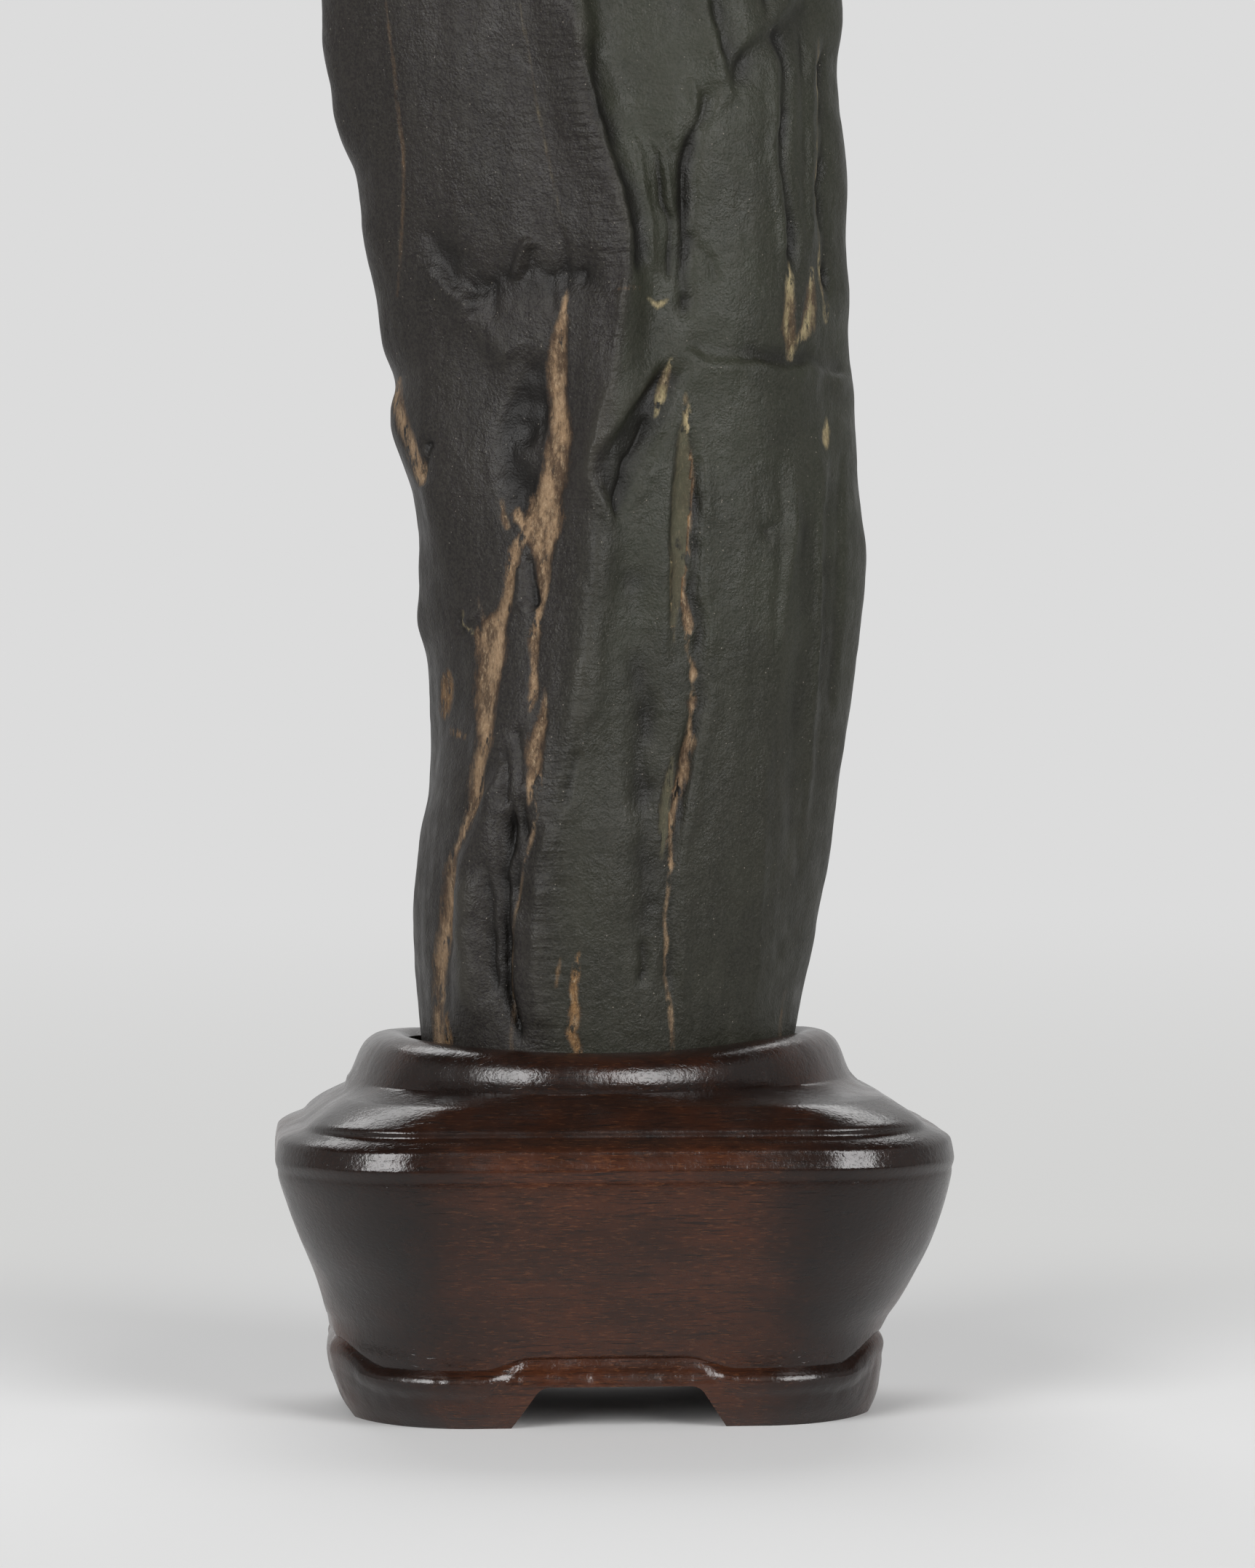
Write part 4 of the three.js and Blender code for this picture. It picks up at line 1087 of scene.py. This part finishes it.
# %% [markdown]
# ## The stand
#
# The stand is turned by hand from one block of hardwood: feet at the corners with a notch between
# each pair, a deep cove, a shoulder that swells out, a bead and a roll on its top edge, a plate,
# and a ring that rises round the stone. Its plan is a rectangle with very round corners, and only
# the ring follows the outline of the stone.
#
# Extruding the plan in steps would give hard ledges. Here the plan is given at a few heights, a
# smooth curve joins them, and the mouldings are added as small offsets, so that the fine rows of
# the grid follow every roll and crease.

# %% Plan of the stand at its main heights
# height, half width, half depth, and the half axes of the rounded corner
STAND_PROFILE = [
    (0, 51, 28.6, 24, 28.4), (3, 52, 30.9, 24.5, 28.6), (5.9, 52.7, 32.5, 25, 28.8),
    (8.2, 53.2, 33.4, 25, 29), (10, 53.6, 33.2, 25, 29), (11.4, 53.8, 32.5, 25, 29),
    (13.4, 53.9, 32.3, 25, 29), (16, 53.6, 32.7, 25, 29), (18.5, 53.9, 33.8, 25.3, 29),
    (21, 55, 34.9, 25.5, 29), (27, 57.3, 38, 26, 29), (34, 60, 42, 27, 28.5),
    (41, 62.2, 44.8, 28, 28), (46.5, 63.6, 46.4, 28, 28), (49.8, 64, 47, 28, 28),
    (52.5, 63.5, 46.6, 28, 28), (54.6, 61.6, 45.2, 27, 27), (55.6, 58.9, 43.8, 24, 24),
    (56.8, 57.4, 43.5, 21, 21), (58.4, 55.4, 42, 21, 21), (61, 51, 39.8, 24, 24),
]
# the carver's block leans a little: height and how far the plan is shifted along x
STAND_LEAN = [(0, 0), (5, -0.5), (9, -0.9), (15, -1.0), (18, -0.4), (22, 0.3), (40, 0.5), (47, 0.1), (50, 0)]
RIM_FRONT, RIM_ENDS = 70.3, 72.0  # height of the ring's rim in front and at the two ends
RING_FOOT = 63.2
RING_WIDTH = 9.6
RING_WIDTH_LEFT = 12.4  # the ring is wider at its left end, round the gap
SEAT_GAP = 0.35  # between stone and ring
WIDE_GAP = 2.6  # the same at the left end
SOCKET_FLOOR = 56.7
NOTCH_TOP = 8.2
NOTCH_FRONT = (20.2, 14.8)  # half width at the bottom and at the top
NOTCH_SIDE = (11.5, 8.0)
NOTCH_ROUND = 3.0
STAND_COLUMNS = 480

turns = np.linspace(0, 2 * math.pi, STAND_COLUMNS, endpoint=False)
turn_x, turn_y = np.cos(turns), np.sin(turns)


def plan_reach(half_width, half_depth, corner_x, corner_y):
    """How far a rounded rectangle reaches from its middle in each direction. Its four sizes are
    numbers, or one number for each direction."""
    flat_x = half_width / np.maximum(np.abs(turn_x), 1e-6)
    flat_y = half_depth / np.maximum(np.abs(turn_y), 1e-6)
    centre_x, centre_y = half_width - corner_x, half_depth - corner_y
    a = (turn_x / corner_x) ** 2 + (turn_y / corner_y) ** 2
    b = -2 * (np.abs(turn_x) * centre_x / corner_x**2 + np.abs(turn_y) * centre_y / corner_y**2)
    c = (centre_x / corner_x) ** 2 + (centre_y / corner_y) ** 2 - 1
    corner = (-b + np.sqrt(np.maximum(b * b - 4 * a * c, 0))) / (2 * a)
    flat = np.minimum(flat_x, flat_y)
    in_corner = (np.abs(turn_x) * flat > centre_x) & (np.abs(turn_y) * flat > centre_y)
    return np.where(in_corner, corner, flat)


def stand_reach(heights):
    """Reach of the stand's smooth body, one row for each height."""
    plans = through([row[0] for row in STAND_PROFILE], [row[1:] for row in STAND_PROFILE], heights)
    return np.array([plan_reach(*plan) for plan in plans])


seat = stone_outlines(np.array([CONTACT]), [12] * len(STONE_GUIDES))[0]
seat_turn = np.unwrap(np.arctan2(seat[:, 1], seat[:, 0])) % (2 * math.pi)
order = np.argsort(seat_turn)
seat_reach = np.hypot(*seat[order, :2].T)
stone_reach = np.interp(turns, seat_turn[order], seat_reach, period=2 * math.pi)
end_share = turn_x**2
rim = RIM_FRONT + (RIM_ENDS - RIM_FRONT) * end_share
gap = SEAT_GAP + (WIDE_GAP - SEAT_GAP) * smooth(-0.8, -0.97, turn_x)
print("the ring's hole reaches %.1f to %.1f mm" % (stone_reach.min(), stone_reach.max()))

# %% Edges of the feet
# The feet stand proud as rolls. Over each notch the roll flattens into a band that sits higher.
def between_feet(x, y):
    """1 over a notch and 0 over a foot, for each direction from the middle."""
    over_front = smooth(25, 15.5, np.abs(x + 1.0))
    over_side = smooth(15, 8, np.abs(y))
    return np.where(np.abs(turn_x) > 0.85, over_side, over_front)


foot_plan = stand_reach(np.array([8.5]))[0]
over_notch = between_feet(foot_plan * turn_x, foot_plan * turn_y)
over_foot = 1 - over_notch
on_end = smooth(0.84, 0.97, np.abs(turn_x))
cove_z = 11.4 + 1.8 * over_notch * (1 - on_end) + 4.4 * on_end
edge_z = 5.9 + 4.9 * over_notch * (1 - on_end) + (4.0 + 1.5 * over_notch) * on_end
BASE_TOP = 19.5
print("cove between %.1f and %.1f mm" % (cove_z.min(), cove_z.max()))


# %% Base, with rows that follow the roll of the feet
def bulge(share):
    """The section of a roll: 0 at both edges and 1 above its middle, with a soft lower side."""
    return np.sin(np.pi * np.clip(share, 0, 1) ** 1.3) ** 1.1


front_share = np.linspace(0, 1, 14, endpoint=False)[:, None]
roll_share = np.linspace(0, 1, 20, endpoint=False)[:, None]
cove_share = np.linspace(0, 1, 16, endpoint=False)[:, None]
face_z = front_share * edge_z
roll_z = edge_z + roll_share * (cove_z - edge_z)
base_z = np.concatenate([face_z, roll_z, cove_z + cove_share**1.3 * (BASE_TOP - cove_z)])
proud = 1.0 - 0.3 * on_end  # how far the roll stands out
face_out = -0.7 * over_notch * front_share
roll_out = over_foot * (proud * bulge(roll_share) - 0.35 * smooth(0.8, 1, roll_share))
roll_out = roll_out - over_notch * (0.7 + 0.8 * roll_share)
cove_out = -0.35 * over_foot * np.exp(-cove_share / 0.12) - 1.5 * over_notch * np.exp(-cove_share / 0.35)
base_out = np.concatenate([face_out + 0 * edge_z, roll_out, cove_out])


def reach_at(z):
    """Reach of the smooth body where every point has its own height."""
    knots = [row[0] for row in STAND_PROFILE]
    plans = through(knots, [row[1:] for row in STAND_PROFILE], z.ravel()).T.reshape(4, *z.shape)
    return np.stack([plan_reach(*(plan[row] for plan in plans)) for row in range(len(z))])


base_reach = reach_at(base_z) + base_out


# %% Wall, shoulder and plate
def ridge_at(z, place, width):
    """A rounded rise of height 1 at one height."""
    return np.exp(-(((z - place) / width) ** 2))


wall_rows = np.linspace(BASE_TOP, 45.5, 24, endpoint=False)
edge_rows = np.linspace(45.5, 57.5, 50, endpoint=False)
plate_rows = np.linspace(57.5, 61, 7)
upper_z = np.concatenate([wall_rows, edge_rows, plate_rows])[:, None] + np.zeros(STAND_COLUMNS)
upper_out = (0.35 - 0.25 * on_end) * ridge_at(upper_z, 49.9, 0.9) - 0.16 * ridge_at(upper_z, 47.9, 0.7)
upper_out += 0.40 * ridge_at(upper_z, 53.3, 1.0)
upper_reach = reach_at(upper_z) + upper_out

# %% Ring
# share of its height, and share of its width counted from the stone
RING_SECTION = [
    (0, 1.0), (0.10, 1.015), (0.25, 1.02), (0.45, 0.99), (0.65, 0.92), (0.80, 0.82), (0.92, 0.67),
    (0.985, 0.50), (1.0, 0.37), (0.985, 0.24), (0.93, 0.10), (0.84, 0.0),
]
RING_ROWS = 30
at_ends = smooth(0.72, 0.97, np.abs(turn_x))
ring_width = RING_WIDTH + (RING_WIDTH_LEFT - RING_WIDTH) * smooth(-0.7, -0.97, turn_x)
section = through(range(len(RING_SECTION)), RING_SECTION, np.linspace(0, len(RING_SECTION) - 1, RING_ROWS))
ring_z = RING_FOOT + section[:, :1] * (rim - RING_FOOT)
flare = 0.22 * at_ends * np.exp(-section[:, :1] / 0.22)
ring_reach = stone_reach + gap + (section[:, 1:] + flare) * (ring_width - gap)
ring_reach[-1] = stone_reach + gap
approach = np.linspace(0, 1, 10)[1:-1, None]
plate_top_z = 61 + (RING_FOOT - 61) * approach ** (1 + 0.5 * at_ends)
plate_top_reach = upper_reach[-1] + (ring_reach[0] - upper_reach[-1]) * approach
socket_z = np.full((1, STAND_COLUMNS), SOCKET_FLOOR)
socket_reach = (stone_reach + gap)[None]

all_z = np.concatenate([base_z, upper_z, plate_top_z, ring_z, socket_z])
all_reach = np.concatenate([base_reach, upper_reach, plate_top_reach, ring_reach, socket_reach])
lean = through([row[0] for row in STAND_LEAN], [row[1:] for row in STAND_LEAN], all_z.ravel())
lean = lean.reshape(all_z.shape)
lean[-RING_ROWS - 1:] = 0
stand_points = np.dstack([all_reach * turn_x + lean, all_reach * turn_y, all_z])
stand_normals = grid_normals(stand_points)
print("stand grid:", stand_points.shape[0], "rows of", STAND_COLUMNS)

# %% Hand work
# Sanding leaves the faces slightly wavy, and the scraper chatters along the feet and the ring.
unevenness = 0.055 * lattice_noise(stand_points, 12, 21, 2)
chatter = 0.07 * lattice_noise(stand_points, (1.6, 1.6, 5), 22, 1)
on_feet = smooth(12.5, 10, stand_points[..., 2]) * smooth(2, 5, stand_points[..., 2])
on_ring = smooth(RING_FOOT + 0.4, RING_FOOT + 1.5, stand_points[..., 2])
carved = unevenness + chatter * (0.1 + 0.7 * on_feet + 0.15 * on_ring)
kept_flat = smooth(0.2, 1.5, stand_points[..., 2])
kept_flat[-3:] = 0
stand_worked = stand_points + stand_normals * (carved * kept_flat)[..., None]
# Painted shade for the wood's colour: darker towards the rounded ends, partly a darker stain there, and over
# the top.
across = np.abs(stand_points[..., 0] + 2)
deep = np.abs(stand_points[..., 1])
high = smooth(60, 64, stand_points[..., 2])
ends_and_top_shade = smooth(14 - 10 * high, 46 - 18 * high, across) * smooth(8, 28, deep)
# the plate, shoulder and ring get painted shade as well
ends_and_top_shade = np.maximum(ends_and_top_shade, 0.7 * smooth(50, 57, stand_points[..., 2]))
carved_stand = grid_object(
    "carved_stand", stand_worked, top=np.array([0, 0, SOCKET_FLOOR]), bottom=np.array([0, 0, 0.0]),
    fields={"corner": ends_and_top_shade},
)


# %% Notches between the feet
CUTTER_REACH = 90  # the bars run well past both faces of the stand
CUTTER_ARC_STEPS = 8


def notch_cutter(name, half_bottom, half_top, along_x):
    """A long bar with a rounded trapezium as its section, to cut one notch through the stand."""
    outline = [(-half_bottom - 0.6, -1.0), (half_bottom + 0.6, -1.0)]
    slope = math.atan2(NOTCH_TOP, half_bottom - half_top)
    for sign in (1, -1):
        quarter = math.pi / 2
        start, stop = (quarter - slope, quarter) if sign > 0 else (quarter, quarter + slope)
        centre = (sign * (half_top - NOTCH_ROUND * math.tan(slope / 2)), NOTCH_TOP - NOTCH_ROUND)
        for k in range(CUTTER_ARC_STEPS + 1):
            a = start + (stop - start) * k / CUTTER_ARC_STEPS
            outline.append((centre[0] + NOTCH_ROUND * math.cos(a), centre[1] + NOTCH_ROUND * math.sin(a)))
    vertices = []
    for end in (-CUTTER_REACH, CUTTER_REACH):
        for across_bar, z in outline:
            x, y = (end, across_bar) if along_x else (across_bar, end)
            vertices.append((x * MM, y * MM, z * MM))
    count = len(outline)
    faces = [list(range(count)), list(range(2 * count - 1, count - 1, -1))]
    faces += [[i, i + count, (i + 1) % count + count, (i + 1) % count] for i in range(count)]
    mesh = bpy.data.meshes.new(name)
    mesh.from_pydata(vertices, [], faces)
    outward = bmesh.new()
    outward.from_mesh(mesh)
    bmesh.ops.recalc_face_normals(outward, faces=outward.faces)
    outward.to_mesh(mesh)
    outward.free()
    made = bpy.data.objects.new(name, mesh)
    scene.collection.objects.link(made)
    bpy.context.view_layer.update()
    return made


def cut(piece, cutter):
    """The cutter's shape taken out of the piece, with the cutter removed afterwards."""
    modifier = piece.modifiers.new("cut", "BOOLEAN")
    modifier.operation = "DIFFERENCE"
    modifier.solver = "EXACT"
    modifier.object = cutter
    graph = bpy.context.evaluated_depsgraph_get()
    finished = piece.evaluated_get(graph)
    cut_mesh = bpy.data.meshes.new_from_object(finished, preserve_all_data_layers=True, depsgraph=graph)
    piece.modifiers.clear()
    piece.data = cut_mesh
    bpy.data.objects.remove(cutter)


cut(carved_stand, notch_cutter("front_notch", *NOTCH_FRONT, along_x=False))
cut(carved_stand, notch_cutter("side_notch", *NOTCH_SIDE, along_x=True))
carved_stand.data.set_sharp_from_angle(angle=math.radians(50))
print("stand after cutting:", len(carved_stand.data.polygons), "faces")

# %% [markdown]
# ## The stand's finish
#
# The wood is a dense hardwood, stained dark red brown and lacquered. Its pores run along the
# stand as short dark lines, the rounded ends are darker, partly stain and partly painted shade, the
# plate, shoulder and ring are painted darker as shade, and the lacquer has a slightly wavy skin
# that spreads each reflection.
#
# One glossy shader does this: its colour gives the deep red and the painted shade, and a bump gives the wavy
# skin.

# %% Wood material
WOOD_RED = srgb(64, 33, 18)
WOOD_DARK = srgb(50, 27, 16)
WOOD_LIGHT = srgb(118, 74, 45)
WOOD_BLACK = srgb(13, 10, 9)
LACQUER_SPECULAR = 0.55
LACQUER_BUMP = 0.00006  # depth of the lacquer's waves, in metres

wood_finish, tree, shader = new_material("lacquered_hardwood")
here = node(tree, "ShaderNodeTexCoord").outputs["Object"]
figure = noise(tree, here, 150.0, 4.0, 0.6, stretch=(0.35, 1, 1))
colour = blend(tree, span(tree, figure, 0.34, 0.66), WOOD_RED, WOOD_DARK)
fibre = noise(tree, here, 2600.0, 3.0, 0.6, stretch=(0.09, 1, 1))
colour = blend(tree, span(tree, fibre, 0.5, 0.36, 0.0, 0.45), colour, WOOD_BLACK)
fleck = noise(tree, here, 3000.0, 2.0, 0.6, stretch=(0.16, 1, 1))
colour = blend(tree, span(tree, fleck, 0.56, 0.70, 0.0, 0.3), colour, WOOD_LIGHT)
patch = place_group(tree, patches, here, Scale=45.0, Sharpness=0.3).outputs["Mask"]
colour = blend(tree, span(tree, patch, 0, 1, 0.0, 0.25), colour, WOOD_BLACK)
# painted shade: near black towards the rounded ends (partly a darker stain) and over the top, broken up by
# noise
broken = times(tree, minus(tree, noise(tree, here, 110.0, 4.0, 0.6), 0.5), 0.7)
stain_and_shade = plus(tree, attribute(tree, "corner"), broken)
colour = blend(tree, span(tree, stain_and_shade, 0.0, 1.0, 0.0, 0.85), colour, WOOD_BLACK)
pores = noise(tree, here, 1900.0, 2.0, 0.5, stretch=(0.07, 1, 1))
pore = span(tree, pores, 0.60, 0.70)
colour = blend(tree, times(tree, pore, 0.6), colour, WOOD_BLACK)
tree.links.new(colour, shader.inputs["Base Color"])
dull = span(tree, noise(tree, here, 120.0, 4.0), 0.3, 0.7, 0.19, 0.30)
tree.links.new(dull, shader.inputs["Roughness"])
shader.inputs["Specular IOR Level"].default_value = LACQUER_SPECULAR
lacquer_skin = place_group(tree, skin, here, Coarse_Scale=850.0, Fine_Scale=1700.0, Fine_Share=0.5)
height_sum = minus(tree, lacquer_skin.outputs["Height"], times(tree, pore, 0.3))
bump = node(tree, "ShaderNodeBump", Strength=1.0, Distance=LACQUER_BUMP)
tree.links.new(height_sum, bump.inputs["Height"])
tree.links.new(bump.outputs[0], shader.inputs["Normal"])
carved_stand.data.materials.clear()
carved_stand.data.materials.append(wood_finish)
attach(carved_stand, "root")
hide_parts("stand")
print("stand finished with", len(tree.nodes), "nodes")
